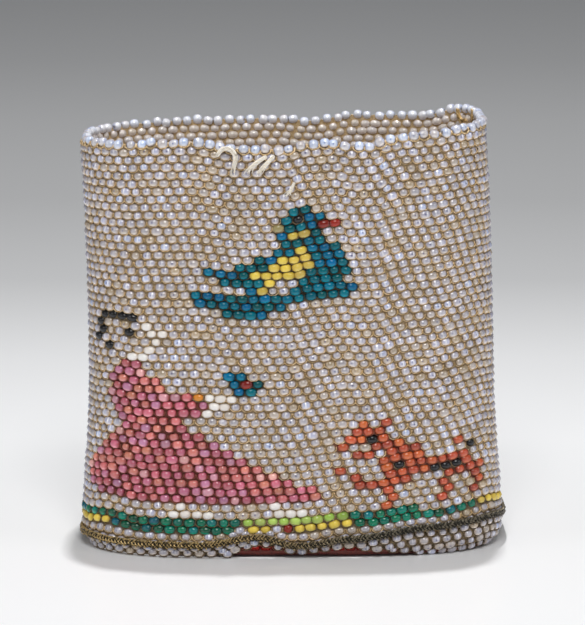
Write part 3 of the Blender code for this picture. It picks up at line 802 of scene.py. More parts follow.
def tube(
    shape: bmesh.types.BMesh, points: Sequence[Vector], radius: float | Sequence[float], sides: int,
    shade: float, closed: bool = False, turns: float = 1.0,
) -> None:
    """Add a thread through points, capped at its ends or joined into a ring.

    Args:
        shape: The shape that grows.
        points: Places along the thread's middle.
        radius: Radius of the thread, or one for each point.
        sides: Faces round the thread.
        shade: How light the thread is.
        closed: Whether the thread is a ring.
        turns: Value that the place along the thread reaches at its end.
    """
    count = len(points)
    segments = count if closed else count - 1
    piece = bmesh.new()
    bmesh.ops.create_grid(piece, x_segments=segments, y_segments=sides, size=1.0)
    place, tone = thread_layers(piece)
    up = Vector((0.0, 0.0, 1.0))
    for vertex in piece.verts:
        station = round((vertex.co.x + 1.0) / 2.0 * segments)
        side = round((vertex.co.y + 1.0) / 2.0 * sides)
        here = points[station % count]
        after = points[(station + 1) % count] if closed or station < count - 1 else here
        before = points[(station - 1) % count] if closed or station > 0 else here
        ahead = (after - before).normalized()
        across = ahead.cross(up)
        if across.length < 0.1:
            across = ahead.cross(Vector((0.0, 1.0, 0.0)))
        across.normalize()
        lift = across.cross(ahead)
        angle = 2 * math.pi * side / sides
        size = radius if isinstance(radius, float) else radius[station % count]
        vertex[place] = (station / segments * turns, side / sides, 0.0)
        vertex[tone] = (shade, 0.0, 0.0)
        vertex.co = here + across * (math.cos(angle) * size) + lift * (math.sin(angle) * size)
    bmesh.ops.remove_doubles(piece, verts=piece.verts[:], dist=MERGE_DISTANCE)
    if not closed:
        ends = [edge for edge in piece.edges if edge.is_boundary]
        bmesh.ops.holes_fill(piece, edges=ends, sides=sides)
    bmesh.ops.recalc_face_normals(piece, faces=piece.faces[:])
    for face in piece.faces:
        face.smooth = True
    append(shape, piece)


def append(shape: bmesh.types.BMesh, piece: bmesh.types.BMesh) -> None:
    """Add one shape to another, with its attributes, and free it."""
    mesh = bpy.data.meshes.new("part_of_piece")
    piece.to_mesh(mesh)
    piece.free()
    shape.from_mesh(mesh)
    bpy.data.meshes.remove(mesh)


def smooth_place(route: Sequence[Sequence[float]], share: float) -> tuple[float, ...]:
    """Place on the smooth curve that passes through a route's points.

    Args:
        route: The route's points.
        share: Share of the way along, from 0 to 1.

    Returns:
        The place, with as many values as the route's points have.
    """
    place = share * (len(route) - 1)
    index = min(int(place), len(route) - 2)
    t = place - index
    p0 = route[max(index - 1, 0)]
    p1, p2 = route[index], route[index + 1]
    p3 = route[min(index + 2, len(route) - 1)]
    return tuple(
        0.5 * (2 * b + (c - a) * t + (2 * a - 5 * b + 4 * c - d) * t * t + (3 * b - a - 3 * c + d) * t**3)
        for a, b, c, d in zip(p0, p1, p2, p3)
    )


def add_piece(
    name: str, shape: bmesh.types.BMesh, material: bpy.types.Material, nodes: Iterable[str]
) -> bpy.types.Object:
    """Make a piece of the pouch from a shape, and say what it rides on and replaces.

    Args:
        name: The piece's name.
        shape: Its shape, which is freed.
        material: Its finish.
        nodes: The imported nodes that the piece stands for.

    Returns:
        The new object.
    """
    mesh = bpy.data.meshes.new(name)
    shape.to_mesh(mesh)
    shape.free()
    mesh.materials.append(material)
    piece = bpy.data.objects.new(name, mesh)
    bpy.context.scene.collection.objects.link(piece)
    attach(piece, "root")
    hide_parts(*nodes)
    LOG.info("%s: %d faces", name, len(mesh.polygons))
    return piece


# Colour fields, as outlines on the bead chart


def box(left: float, right: float, low: float, high: float) -> Outline:
    """Outline of a block of beads."""
    return ((left, low), (right, low), (right, high), (left, high))


class Field(Enum):
    """Colour fields of the beadwork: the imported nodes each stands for, its finish and its outlines."""

    BIRD = ("bird_blue_glass", ("bird_blue_beads",), BLUE, ((
        (0.1, 42.5), (2.1, 42.5), (2.1, 41.5), (3.5, 41.4), (3.5, 40.5), (2.8, 40.4), (2.8, 39.6),
        (3.5, 38.4), (3.5, 37.6), (4.8, 37.4), (5.5, 35.5), (5.7, 34.0), (5.0, 33.0), (5.8, 32.0),
        (5.4, 30.5), (-0.3, 30.5), (-0.3, 29.5), (-2.0, 29.4), (-2.0, 28.5), (-6.1, 28.5), (-6.1, 29.5),
        (-8.6, 29.6), (-8.9, 31.4), (-4.1, 31.6), (-4.1, 32.4), (-6.3, 32.6), (-6.3, 33.4), (-7.7, 33.6),
        (-7.7, 34.4), (-5.0, 34.6), (-5.0, 35.4), (-3.3, 35.6), (-3.3, 36.4), (-1.4, 36.6), (-1.4, 37.5),
        (-0.7, 37.6), (-0.7, 38.4), (-1.1, 38.6), (-1.1, 39.4), (-0.3, 39.6), (-0.3, 40.5), (-0.7, 40.6),
        (-0.7, 41.5), (0.1, 41.6),
    ), (
        (-1.3, 33.5), (0.8, 33.5), (0.8, 32.5), (0.1, 32.5), (0.1, 31.5), (-2.0, 31.5), (-2.0, 32.5),
        (-1.3, 32.5),
    )))
    BIRD_EYE = ("bird_eye_black_glass", ("bird_eye_black_bead",), BLACK, (
        box(0.4, 1.4, 40.5, 41.5),
    ))
    BIRD_NAPE = ("bird_nape_olive_glass", ("beadwork_wall",), OLIVE, (
        box(-1.3, -0.3, 39.5, 40.5),
    ))
    WING = ("bird_wing_yellow_glass", ("bird_wing_yellow_beads",), YELLOW, ((
        (0.6, 37.5), (1.7, 37.5), (1.9, 35.6), (2.3, 35.4), (2.3, 34.6), (1.5, 34.4), (1.5, 33.5),
        (-1.3, 33.5), (-1.3, 32.5), (-2.0, 32.4), (-2.0, 31.5), (-3.0, 31.5), (-3.0, 32.5), (-2.4, 32.6),
        (-2.4, 33.5), (-3.6, 33.6), (-3.6, 34.4), (-2.0, 34.6), (-2.0, 35.4), (-1.1, 35.6), (-1.1, 36.4),
        (0.6, 36.5),
    ), box(0.0, 2.1, 38.5, 39.5)))
    BEAK = ("bird_beak_red_glass", ("bird_beak_red_beads",), RED, (
        box(2.8, 5.0, 39.5, 40.5),
    ))
    FLOWER = ("flower_blue_glass", ("flower_blue_beads",), BLUE, (
        (
            (-6.0, 21.5), (-4.0, 21.5), (-4.0, 20.5), (-2.6, 20.4), (-2.6, 19.6), (-3.3, 18.5), (-5.3, 18.5),
            (-5.7, 19.6),
        ),
    ))
    FLOWER_CENTRE = ("flower_centre_red_glass", ("flower_centre_red_bead",), RED, (
        box(-4.7, -3.7, 19.5, 20.5),
    ))
    HAIR = ("lady_hair_black_glass", ("lady_hair_black_beads",), BLACK, ((
        (-18.1, 28.5), (-14.0, 28.5), (-14.0, 27.5), (-17.7, 27.5), (-17.7, 26.6), (-17.3, 26.5),
        (-17.3, 25.5), (-17.9, 25.4), (-17.9, 24.5), (-19.0, 24.5), (-19.0, 25.5), (-18.3, 25.6),
        (-18.3, 26.5), (-18.7, 26.6), (-18.7, 27.5), (-18.1, 27.6),
    ), box(-15.2, -14.2, 25.5, 26.5), box(-17.5, -16.5, 23.5, 24.5)))
    FACE = ("lady_face_white_glass", ("lady_face_white_beads",), WHITE, ((
        (-13.8, 27.5), (-12.4, 27.5), (-11.3, 25.4), (-12.2, 23.5), (-13.0, 22.6), (-15.2, 22.6),
        (-14.4, 23.5), (-12.9, 24.4), (-13.0, 25.6),
    ),))
    GOWN = ("gown_pink_glass", ("gown_pink_beads",), PINK, ((
        (-15.7, 22.5), (-13.7, 22.5), (-13.3, 21.5), (-13.3, 20.6), (-11.9, 20.4), (-11.5, 19.4),
        (-11.4, 18.6), (-9.0, 18.5), (-9.0, 17.6), (-7.6, 17.4), (-7.8, 16.4), (-8.5, 15.6),
        (-10.0, 15.4), (-9.7, 13.7), (-8.1, 13.3),
        (-6.6, 12.2), (-3.9, 10.1), (-1.0, 8.1), (2.9, 5.2), (2.9, 4.5), (-17.8, 4.5), (-18.4, 5.6),
        (-20.1, 6.6), (-20.1, 7.3), (-18.6, 9.2), (-17.6, 10.5), (-17.0, 12.0), (-15.4, 13.5),
        (-15.4, 14.5), (-17.0, 17.4), (-17.2, 18.4), (-16.6, 18.6), (-16.6, 19.4), (-17.0, 19.6),
        (-17.0, 20.5), (-16.3, 20.6), (-16.3, 21.4), (-15.7, 21.6),
    ),))
    CUFF = ("cuff_amber_glass", ("beadwork_wall",), AMBER, (
        box(-8.9, -7.9, 17.5, 18.5),
    ))
    HAND = ("hand_white_glass", ("hand_white_beads",), WHITE, ((
        (-7.9, 18.5), (-5.0, 18.5), (-5.0, 17.5), (-5.6, 17.5), (-5.6, 16.5), (-7.3, 16.5), (-7.3, 15.6),
        (-8.3, 15.6), (-8.3, 16.4), (-7.5, 16.6), (-7.5, 17.5),
    ),))
    LEFT_SHOE = ("left_shoe_white_glass", ("left_shoe_white_beads",), WHITE, (
        ((-11.0, 4.5), (-9.1, 4.5), (-9.1, 3.5), (-6.4, 3.5), (-6.4, 2.5), (-10.5, 2.5), (-10.6, 3.5)),
    ))
    RIGHT_SHOE = ("right_shoe_white_glass", ("right_shoe_white_beads",), WHITE, (
        ((-2.9, 4.5), (-0.6, 4.5), (-0.6, 3.5), (1.8, 3.5), (1.8, 2.5), (-2.1, 2.5), (-2.1, 3.5)),
    ))
    DOG = ("dog_orange_glass", ("dog_orange_beads",), ORANGE, ((
        (5.4, 13.5), (8.5, 13.5), (8.8, 12.5), (8.8, 11.5), (10.1, 11.5), (10.1, 10.5), (11.5, 10.4),
        (11.8, 8.5), (16.2, 8.5), (16.5, 7.5), (16.5, 6.5), (17.8, 6.5), (17.8, 5.5), (17.2, 5.5),
        (17.5, 3.5), (16.9, 3.5), (16.9, 2.5), (15.9, 2.5), (15.9, 3.5), (16.5, 3.6), (16.1, 5.5),
        (14.1, 5.5), (14.5, 3.5), (13.8, 3.5), (13.8, 2.5), (12.8, 2.5), (12.8, 3.5), (13.5, 3.6),
        (13.1, 5.5), (13.7, 5.6), (13.7, 6.5), (10.6, 6.5), (10.6, 5.5), (8.9, 5.5), (9.3, 3.5),
        (8.7, 3.5), (8.7, 2.5), (7.7, 2.5), (7.7, 3.5), (8.3, 3.6), (7.9, 5.5), (5.5, 5.5), (5.5, 6.5),
        (8.3, 6.5), (7.7, 9.5), (8.4, 9.6), (8.4, 10.5), (7.1, 10.5), (7.1, 11.5), (4.7, 11.5),
        (4.7, 12.5), (5.4, 12.6),
    ), box(6.0, 7.0, 13.5, 14.5), box(8.1, 9.1, 13.5, 14.5), box(4.0, 5.0, 10.5, 11.5),
        box(5.3, 7.4, 9.5, 10.5), box(3.9, 4.9, 7.5, 8.5), box(5.2, 6.2, 6.5, 7.5)))
    DOG_EYE = ("dog_eye_black_glass", ("dog_eye_black_bead",), BLACK, (
        box(6.7, 7.8, 11.5, 12.5),
    ))
    DOG_COLLAR = ("dog_collar_black_glass", ("dog_collar_black_beads",), BLACK, (
        box(9.0, 10.0, 7.5, 8.5),
        box(12.4, 15.5, 6.5, 7.5),
        box(15.9, 17.0, 8.5, 9.5),
    ))
    DOG_TAIL = ("dog_tail_orange_glass", ("dog_tail_orange_bead",), ORANGE, (
        box(14.6, 15.6, 9.5, 10.5),
    ))
    UPPER_GREEN_LEFT = ("band_upper_green_left_glass", ("band_upper_green_left",), GREEN, (
        box(-24.5, -4.7, 1.5, 2.5),
    ))
    UPPER_LIME = ("band_upper_lime_glass", ("band_upper_lime",), LIME, (
        box(-4.7, 4.6, 1.5, 2.5),
    ))
    UPPER_GREEN_RIGHT = ("band_upper_green_right_glass", ("band_upper_green_right",), GREEN, (
        box(4.6, 11.2, 1.5, 2.5),
    ))
    LOWER_YELLOW_LEFT = ("band_lower_yellow_left_glass", ("band_lower_yellow_left",), YELLOW, (
        box(-24.5, -16.8, 0.5, 1.5),
    ))
    LOWER_GREEN_LEFT = ("band_lower_green_left_glass", ("band_lower_green_left",), GREEN, (
        box(-16.8, -5.5, 0.5, 1.5),
    ))
    LOWER_YELLOW = ("band_lower_yellow_middle_glass", ("band_lower_yellow_middle",), YELLOW, (
        box(-5.5, 5.4, 0.5, 1.5),
        box(-4.5, -3.5, 0.5, 1.5),
        box(-1.7, -0.8, 0.5, 1.5),
    ))
    RED_FLECK = ("red_fleck_glass", ("band_lower_yellow_middle",), RED, (
        box(-0.8, 0.0, 0.5, 1.5),
    ))
    LOWER_GREEN_RIGHT = ("band_lower_green_right_glass", ("band_lower_green_right",), GREEN, (
        box(5.4, 16.3, 0.5, 1.5),
    ))
    LOWER_YELLOW_RIGHT = ("band_lower_yellow_right_glass", ("band_lower_yellow_right",), YELLOW, (
        box(16.3, 22.4, 0.5, 1.5),
    ))

    def __init__(
        self, piece: str, nodes: tuple[str, ...], finish: GlassFinish, outlines: tuple[Outline, ...]
    ) -> None:
        """Keep the field's piece name, nodes, finish and outlines."""
        self.piece = piece
        self.nodes = nodes
        self.finish = finish
        self.outlines = outlines

    def holds(self, column: float, row: float) -> bool:
        """Whether a chart place lies in the field, where an outline in another one is a hole."""
        return sum(inside(outline, column, row) for outline in self.outlines) % 2 == 1


def inside(outline: Outline, column: float, row: float) -> bool:
    """Whether a chart place lies in an outline."""
    odd = False
    for (x0, y0), (x1, y1) in zip(outline, outline[1:] + outline[:1]):
        if (y0 > row) != (y1 > row) and column < x0 + (row - y0) / (y1 - y0) * (x1 - x0):
            odd = not odd
    return odd


def field_at(column: float, row: float) -> Field | None:
    """The colour field at a chart place, where a later field covers an earlier one."""
    return next((home for home in reversed(Field) if home.holds(column, row)), None)


class Part(Enum):
    """Parts of the plain beadwork, which are pieces of their own."""

    FRONT_LOWER = "opal_front_lower"
    FRONT_UPPER = "opal_front_upper"
    BACK_LOWER = "opal_back_lower"
    BACK_UPPER = "opal_back_upper"

    def __init__(self, piece: str) -> None:
        """Keep the part's piece name, with the plain beads' node and finish."""
        self.piece = piece
        self.nodes = ("beadwork_wall",)
        self.finish = OPAL


def is_front(column: float) -> bool:
    """Whether a chart column lies on the front half of the pouch."""
    return abs(column) < CHART_COLUMNS / 4


def plain_part(column: float, row: float, middle_row: int) -> Part:
    """The part of the plain beadwork at a chart place."""
    if is_front(column):
        return Part.FRONT_LOWER if row < middle_row else Part.FRONT_UPPER
    return Part.BACK_LOWER if row < middle_row else Part.BACK_UPPER


def random_tone(draw: random.Random) -> Colour:
    """Shade, hue and chance of one bead."""
    return draw.random(), draw.random(), draw.random()


@dataclass
class Beadwork:
    """The woven tube: every bead of the wall, in the colour of the field that its middle falls in.

    Attributes:
        seed: Start of the random draws.
        jitter: How far a bead strays from its place.
        tilt: How far a bead tilts, in radians.
        size_spread: How much the sizes of beads differ.
        length_spread: How much more their lengths differ.
        pucker: How far rows wander over several beads, in rows.
        pucker_grain: How fast they do so, in a column and a row.
        slide: How far beads slide along their row, in columns.
        slide_grain: How fast this changes from bead to bead.
        middle_row: Row between the lower and upper pieces.
        low_pitch: Height of the rows below the plait.
        low_squeeze: How much lower they are where the hem swells.
        low_rows: Most rows below the plait.
        low_reach: How far past the hem a row may start, in rows.
        low_thread_shade: How light the thread is there against the rest, lower as a painted shade under the
            plait.
        thread_shades: Least and most of the thread's shade.
        stitch_follow: Share of a bead's stray that its stitch follows.
        beads: Places and tones of the beads of each field or plain part.
        stitches: Places and shades of the stitches, for the front (True) and the back (False).
    """

    seed: int = 7
    jitter: float = 0.10 * MM
    tilt: float = 0.10
    size_spread: float = 0.05
    length_spread: float = 0.07
    pucker: float = 0.14
    pucker_grain: Span = (0.11, 0.13)
    slide: float = 0.25
    slide_grain: float = 0.2
    middle_row: int = 24
    low_pitch: float = 1.75 * MM
    low_squeeze: float = 0.4
    low_rows: int = 4
    low_reach: float = 0.45
    low_thread_shade: float = 0.25
    thread_shades: Span = (0.7, 1.2)
    stitch_follow: float = 0.5
    beads: dict[Field | Part, list[Copy]] = field(default_factory=dict)
    stitches: dict[bool, list[Copy]] = field(default_factory=lambda: {True: [], False: []})

    def build(self) -> None:
        """Place all beads, then make the pieces."""
        draw = random.Random(self.seed)
        for row in range(RIM_ROW - 1, BRAID_ROW - 1, -1):
            self.lay_row(draw, row)
        for step in range(1, self.low_rows + 1):
            self.lay_low_row(draw, step)
        self.make_pieces()

    def bead_column(self, number: int, row: int) -> float:
        """Chart column of a bead of a row."""
        return (number + FIRST_SHIFT + ROW_SHIFT * (RIM_ROW - row) + row_lag(row)) * COLUMN_STEP

    def lay_row(self, draw: random.Random, row: int) -> None:
        """Place the beads of one row of the wall."""
        for number in range(BEADS_ROUND):
            column = wrap(self.bead_column(number, row))
            across, up = self.pucker_grain
            drift = noise.noise(Vector((column * across, row * up, 3.0))) * self.pucker
            slide = noise.noise(Vector((column * self.slide_grain, row * self.slide_grain, 9.0)))
            self.lay_bead(draw, column, row, column + slide * self.slide, row + drift)

    def lay_low_row(self, draw: random.Random, step: int) -> None:
        """Place the beads of one row below the plait, where the hem leaves room for it."""
        for number in range(BEADS_ROUND):
            chart_row = BRAID_ROW - step
            column = wrap(self.bead_column(number, chart_row))
            braid = WALL.row_height(column, BRAID_ROW)
            hem = WALL.row_height(column, HEM_ROW)
            pitch = self.low_pitch * (1.0 - self.low_squeeze * WALL.swell_share(column))
            height = braid - pitch * step
            if height < hem - self.low_reach * pitch:
                continue
            share = (braid - max(height, hem)) / max(braid - hem, 0.1 * MM)
            self.lay_bead(draw, column, chart_row, column, BRAID_ROW + (HEM_ROW - BRAID_ROW) * share)

    def lay_bead(
        self, draw: random.Random, chart_column: float, chart_row: float, column: float, row: float
    ) -> None:
        """Place one bead and the stitch under it.

        Args:
            draw: The random draws.
            chart_column: Column that picks the bead's colour.
            chart_row: Row that picks the bead's colour.
            column: Column where the bead lies.
            row: Row where the bead lies.
        """
        home = field_at(chart_column, chart_row) or plain_part(chart_column, chart_row, self.middle_row)
        finish = home.finish
        seat = WALL.seat(column, row)
        size = 1.0 + draw.gauss(0.0, self.size_spread)
        length = size * (1.0 + draw.gauss(0.0, self.length_spread))
        stray = Vector([draw.uniform(-1, 1) * self.jitter for _ in range(3)])
        turn = random_turn(draw, self.tilt, self.tilt)
        half_length = BEAD_HALF_LENGTH * length * finish.plump[0]
        radius = BEAD_RADIUS * size * finish.plump[1]
        scale = Matrix.Diagonal((half_length, radius, radius, 1.0))
        matrix = seat @ Matrix.Translation(stray) @ turn @ scale
        lift = radius - matrix.translation.z
        if lift > 0:
            matrix = Matrix.Translation((0, 0, lift)) @ matrix
        self.beads.setdefault(home, []).append((matrix, random_tone(draw)))
        # Thread shade: random, lower round coloured glass and lower again below the plait, the last two a
        # painted shade.
        shade = finish.thread_shade * draw.uniform(*self.thread_shades)
        if chart_row < BRAID_ROW:
            shade *= self.low_thread_shade
        stitch = seat @ Matrix.Translation(stray * self.stitch_follow)
        self.stitches[is_front(chart_column)].append((stitch, (shade, finish.thread_bounce_light, 0.0)))

    def make_pieces(self) -> None:
        """Make one piece for each field and each plain part."""
        bead = BeadShape().mesh("bead")
        materials = {}
        for home, beads in self.beads.items():
            finish = home.finish
            if finish.name not in materials:
                materials[finish.name] = finish.material()
            shape = bmesh.new()
            stamp_all(shape, bead, beads, "bead_tone")
            add_piece(home.piece, shape, materials[finish.name], home.nodes)
        bpy.data.meshes.remove(bead)


@dataclass
class ThreadWork:
    """The tan thread that holds the beads: a thin web in the wall and a stitch round each bead.

    Attributes:
        radius: Radius of the thread.
        web_depth: Half thickness of the web.
        web_shade: How light the web is outside, low as a painted shade in the gaps between beads.
        inner_web_shade: How light the web is inside, lighter than outside as painted light.
        web_weave: Turns of the web's strands along one row.
        sides: Faces round a stitch.
        route: A stitch seen from the front, from gap to gap under its bead, as (x, z, outwards).
    """

    radius: float = 0.16 * MM
    web_depth: float = 0.14 * MM
    web_shade: float = 0.58
    inner_web_shade: float = 1.0
    web_weave: float = 4.0
    sides: int = 3
    route: tuple[Point, ...] = (
        (-1.40, 0.35, 0.15), (-1.25, -0.45, 0.48), (-0.62, -0.95, 0.42), (0.62, -0.95, 0.42),
        (1.25, -0.45, 0.48), (1.40, 0.35, 0.15),
    )

    def build(self, stitches: dict[bool, list[Copy]]) -> None:
        """Make the web and the stitches.

        Args:
            stitches: Seats of the beads with their thread's shade, for the front (True) and the back (False).
        """
        material = TAN_THREAD.material()
        self.build_web(material)
        for front, seats in stitches.items():
            master = bmesh.new()
            points = [Vector((x, -out, z)) * MM for x, z, out in self.route]
            tube(master, points, self.radius, self.sides, 1.0)
            mesh = bpy.data.meshes.new("stitch")
            master.to_mesh(mesh)
            master.free()
            shape = bmesh.new()
            stamp_all(shape, mesh, seats, "thread_tone_and_shading")
            bpy.data.meshes.remove(mesh)
            name = "front_stitches" if front else "back_stitches"
            add_piece(name, shape, material, ("beadwork_wall",))

    def build_web(self, material: bpy.types.Material) -> None:
        """Make the thin web behind the gaps, as one closed ring."""
        rows = range(RIM_ROW, HEM_ROW - 1, -1)
        section = [(row, self.web_depth) for row in rows] + [(row, -self.web_depth) for row in reversed(rows)]
        shape = bmesh.new()
        bmesh.ops.create_grid(shape, x_segments=BEADS_ROUND, y_segments=len(section), size=1.0)
        place, tone = thread_layers(shape)
        for vertex in shape.verts:
            share = (vertex.co.x + 1.0) / 2.0
            row, depth = section[round((vertex.co.y + 1.0) / 2.0 * len(section)) % len(section)]
            vertex[place] = (row * self.web_weave, share * BEADS_ROUND, 0.0)
            home = field_at(wrap(share * CHART_COLUMNS), row)
            finish = home.finish if home else OPAL_RIM
            # Painted shade outside, where the web shows between the beads, and painted light inside, times
            # the field's painted thread shade.
            shade = self.web_shade if depth > 0 else self.inner_web_shade
            vertex[tone] = (shade * finish.thread_shade, finish.thread_bounce_light, 0.0)
            vertex.co = WALL.point(share * CHART_COLUMNS, row, depth)
        bmesh.ops.remove_doubles(shape, verts=shape.verts[:], dist=MERGE_DISTANCE)
        bmesh.ops.recalc_face_normals(shape, faces=shape.faces[:])
        if shape.calc_volume(signed=True) < 0:
            bmesh.ops.reverse_faces(shape, faces=shape.faces[:])
        add_piece("thread_web", shape, material, ("beadwork_wall",))


@dataclass
class Rim:
    """Round of larger clear beads along the mouth, each held by a stitch.

    Attributes:
        seed: Start of the random draws.
        left_inset: How far the round is drawn in at the left corner.
        left_reach: Columns over which it is.
        shape: Shape of a rim bead.
        size_spread: How much the sizes of beads differ.
        length: Half length of a bead against its radius.
        length_spread: How much the lengths differ.
        slide: How far a bead slides along the rim, in columns.
        stray_out: Least and most that a bead strays inwards.
        stray_up: Least and most that it strays upwards.
        tilt: How far a bead tilts, in radians.
        twist: How far it turns in plan, in radians.
        stitch_route: A stitch from gap to gap, as (x, z, outwards) in millimetres.
        stitch_stray: How far a stitch's points stray, in millimetres.
        stitch_radius: Least and most of a stitch's radius, in millimetres.
        stitch_shades: Least and most of a stitch's shade.
        sides: Faces round a stitch.
    """

    seed: int = 11
    left_inset: float = 0.9 * MM
    left_reach: float = 6.0
    shape: BeadShape = BeadShape(12, (
        (-1.0, 0.30), (-0.93, 0.56), (-0.72, 0.82), (-0.27, 0.99), (0.27, 0.99), (0.72, 0.82), (0.93, 0.56),
        (1.0, 0.30),
    ))
    size_spread: float = 0.07
    length: float = 0.97
    length_spread: float = 0.06
    slide: float = 0.17
    stray_out: Span = (-0.25, 0.25)
    stray_up: Span = (-0.2, 0.35)
    tilt: float = 0.15
    twist: float = 0.2
    stitch_route: tuple[Point, ...] = (
        (-1.45, 0.1, 0.0), (-1.25, -0.6, 0.5), (-0.5, -1.05, 0.75), (0.5, -1.1, 0.75), (1.25, -0.6, 0.5),
        (1.45, 0.1, 0.0),
    )
    stitch_stray: float = 0.08
    stitch_radius: Span = (0.15, 0.24)
    stitch_shades: Span = (0.7, 1.2)
    sides: int = 4

    def build(self) -> None:
        """Make the rim beads and their stitches."""
        draw = random.Random(self.seed)
        bead = self.shape.mesh("rim_bead")
        copies = []
        threads = bmesh.new()
        for number in range(BEADS_ROUND):
            column = wrap((number + 0.5) * COLUMN_STEP + draw.uniform(-self.slide, self.slide))
            seat = WALL.seat(column, RIM_ROW)
            radius = RIM_BEAD_RADIUS * (1.0 + draw.gauss(0.0, self.size_spread))
            half_length = RIM_BEAD_RADIUS * (self.length + draw.gauss(0.0, self.length_spread))
            left = math.exp(-(((column + CHART_COLUMNS / 4) / self.left_reach) ** 2))
            stray = Vector((0.0, draw.uniform(*self.stray_out), draw.uniform(*self.stray_up))) * MM
            stray.y += self.left_inset * left
            turn = random_turn(draw, self.tilt, self.twist)
            scale = Matrix.Diagonal((half_length, radius, radius, 1.0))
            copies.append((seat @ Matrix.Translation(stray) @ turn @ scale, random_tone(draw)))
            self.add_stitch(threads, draw, seat)
        shape = bmesh.new()
        stamp_all(shape, bead, copies, "bead_tone")
        bpy.data.meshes.remove(bead)
        add_piece("rim_glass_beads", shape, OPAL_RIM.material(), ("rim_beads",))
        add_piece("rim_stitches", threads, TAN_THREAD.material(), ("rim_beads",))

    def add_stitch(self, threads: bmesh.types.BMesh, draw: random.Random, seat: Matrix) -> None:
        """Add the thread that goes round under one rim bead."""
        points = []
        for x, z, out in self.stitch_route:
            stray = draw.uniform(-self.stitch_stray, self.stitch_stray)
            points.append(seat @ (Vector((x, -out, z + stray)) * MM))
        radius = draw.uniform(*self.stitch_radius) * MM
        tube(threads, points, radius, self.sides, draw.uniform(*self.stitch_shades))


@dataclass
class Plait:
    """Flat plait of gilt thread sewn round the foot, with the sewing knots along its lower edge.

    Attributes:
        strands: Number of strands.
        waves: Waves of each strand round the pouch.
        points_per_wave: Points of a strand along one wave.
        half_height: Half height of the plait.
        half_depth: Half thickness of the plait.
        radius: Radius of a strand.
        sides: Faces round a strand.
        strand_shades: Least and most of a strand's shade.
        turns_per_wave: Turns of a strand's fibres along one wave.
        wander: How far the plait wanders up and down.
        wander_grain: How fast it does so, in columns.
        core_radius: Radius of the dark core behind the strands, a painted shade between them.
        core_sides: Faces round the core.
        core_shade: How light the core is, dark for that painted shade.
        seat: Distance of its middle outwards from the bead layer's middle.
        knots: Number of sewing knots.
        knot_drop: How far they lie below the plait's edge.
        knot_radius: Least and most of a knot's radius, in millimetres.
        knot_slide: How far a knot slides, in knots.
        knot_shade: How light a knot is.
        knot_spot: Spot of the thread's finish that a knot shows, as (turns, way round, none).
        seed: Start of the random draws.
    """

    strands: int = 3
    waves: int = 104
    points_per_wave: int = 10
    half_height: float = 0.66 * MM
    half_depth: float = 0.24 * MM
    radius: float = 0.29 * MM
    sides: int = 5
    strand_shades: Span = (0.6, 1.3)
    turns_per_wave: float = 3.0
    wander: float = 0.12 * MM
    wander_grain: float = 0.7
    core_radius: float = 0.60 * MM
    core_sides: int = 6
    core_shade: float = 0.1
    seat: float = 1.32 * MM
    knots: int = 108
    knot_drop: float = 0.25 * MM
    knot_radius: Span = (0.24, 0.36)
    knot_slide: float = 0.2
    knot_shade: float = 1.4
    knot_spot: Point = (0.5, 0.25, 0.0)
    seed: int = 5

    def build(self) -> None:
        """Make the strands, their core and the knots."""
        shape = bmesh.new()
        draw = random.Random(self.seed)
        for strand in range(self.strands):
            points = self.strand_points(strand / self.strands)
            shade = draw.uniform(*self.strand_shades)
            turns = self.waves * self.turns_per_wave
            tube(shape, points, self.radius, self.sides, shade, closed=True, turns=turns)
        # Dark core behind the strands: painted shade in the gaps between them.
        middle = self.seat - self.core_radius
        core = [WALL.point(column, BRAID_ROW, middle) for column in range(CHART_COLUMNS)]
        turns = CHART_COLUMNS
        tube(shape, core, self.core_radius, self.core_sides, self.core_shade, closed=True, turns=turns)
        for number in range(self.knots):
            column = (number + draw.uniform(-self.knot_slide, self.knot_slide)) * CHART_COLUMNS / self.knots
            self.add_knot(shape, column, draw.uniform(*self.knot_radius) * MM)
        add_piece(
            "gilt_thread_plait", shape, METAL_THREAD.material(), ("metal_thread_braid",)
        )

    def strand_points(self, lag: float) -> list[Vector]:
        """Places along one strand, which lags by a share of a wave."""
        points = []
        count = self.waves * self.points_per_wave
        for number in range(count):
            share = number / count
            column = share * CHART_COLUMNS
            phase = 2 * math.pi * (self.waves * share + lag)
            up = self.half_height * math.sin(phase)
            out = self.half_depth * math.sin(2 * phase)
            wander = self.wander * noise.noise(Vector((column * self.wander_grain, 1.0, 4.0)))
            points.append(WALL.point(column, BRAID_ROW, self.seat + out) + Vector((0, 0, up + wander)))
        return points

    def add_knot(self, shape: bmesh.types.BMesh, column: float, radius: float) -> None:
        """Add one sewing knot under the plait."""
        knot = bmesh.new()
        bmesh.ops.create_icosphere(knot, subdivisions=1, radius=radius)
        place, tone = thread_layers(knot)
        for vertex in knot.verts:
            vertex[place] = self.knot_spot
            vertex[tone] = (self.knot_shade, 0.0, 0.0)
        for face in knot.faces:
            face.smooth = True
        centre = WALL.point(column, BRAID_ROW, self.seat) + Vector((0, 0, -self.half_height - self.knot_drop))
        bmesh.ops.translate(knot, verts=knot.verts[:], vec=centre)
        append(shape, knot)


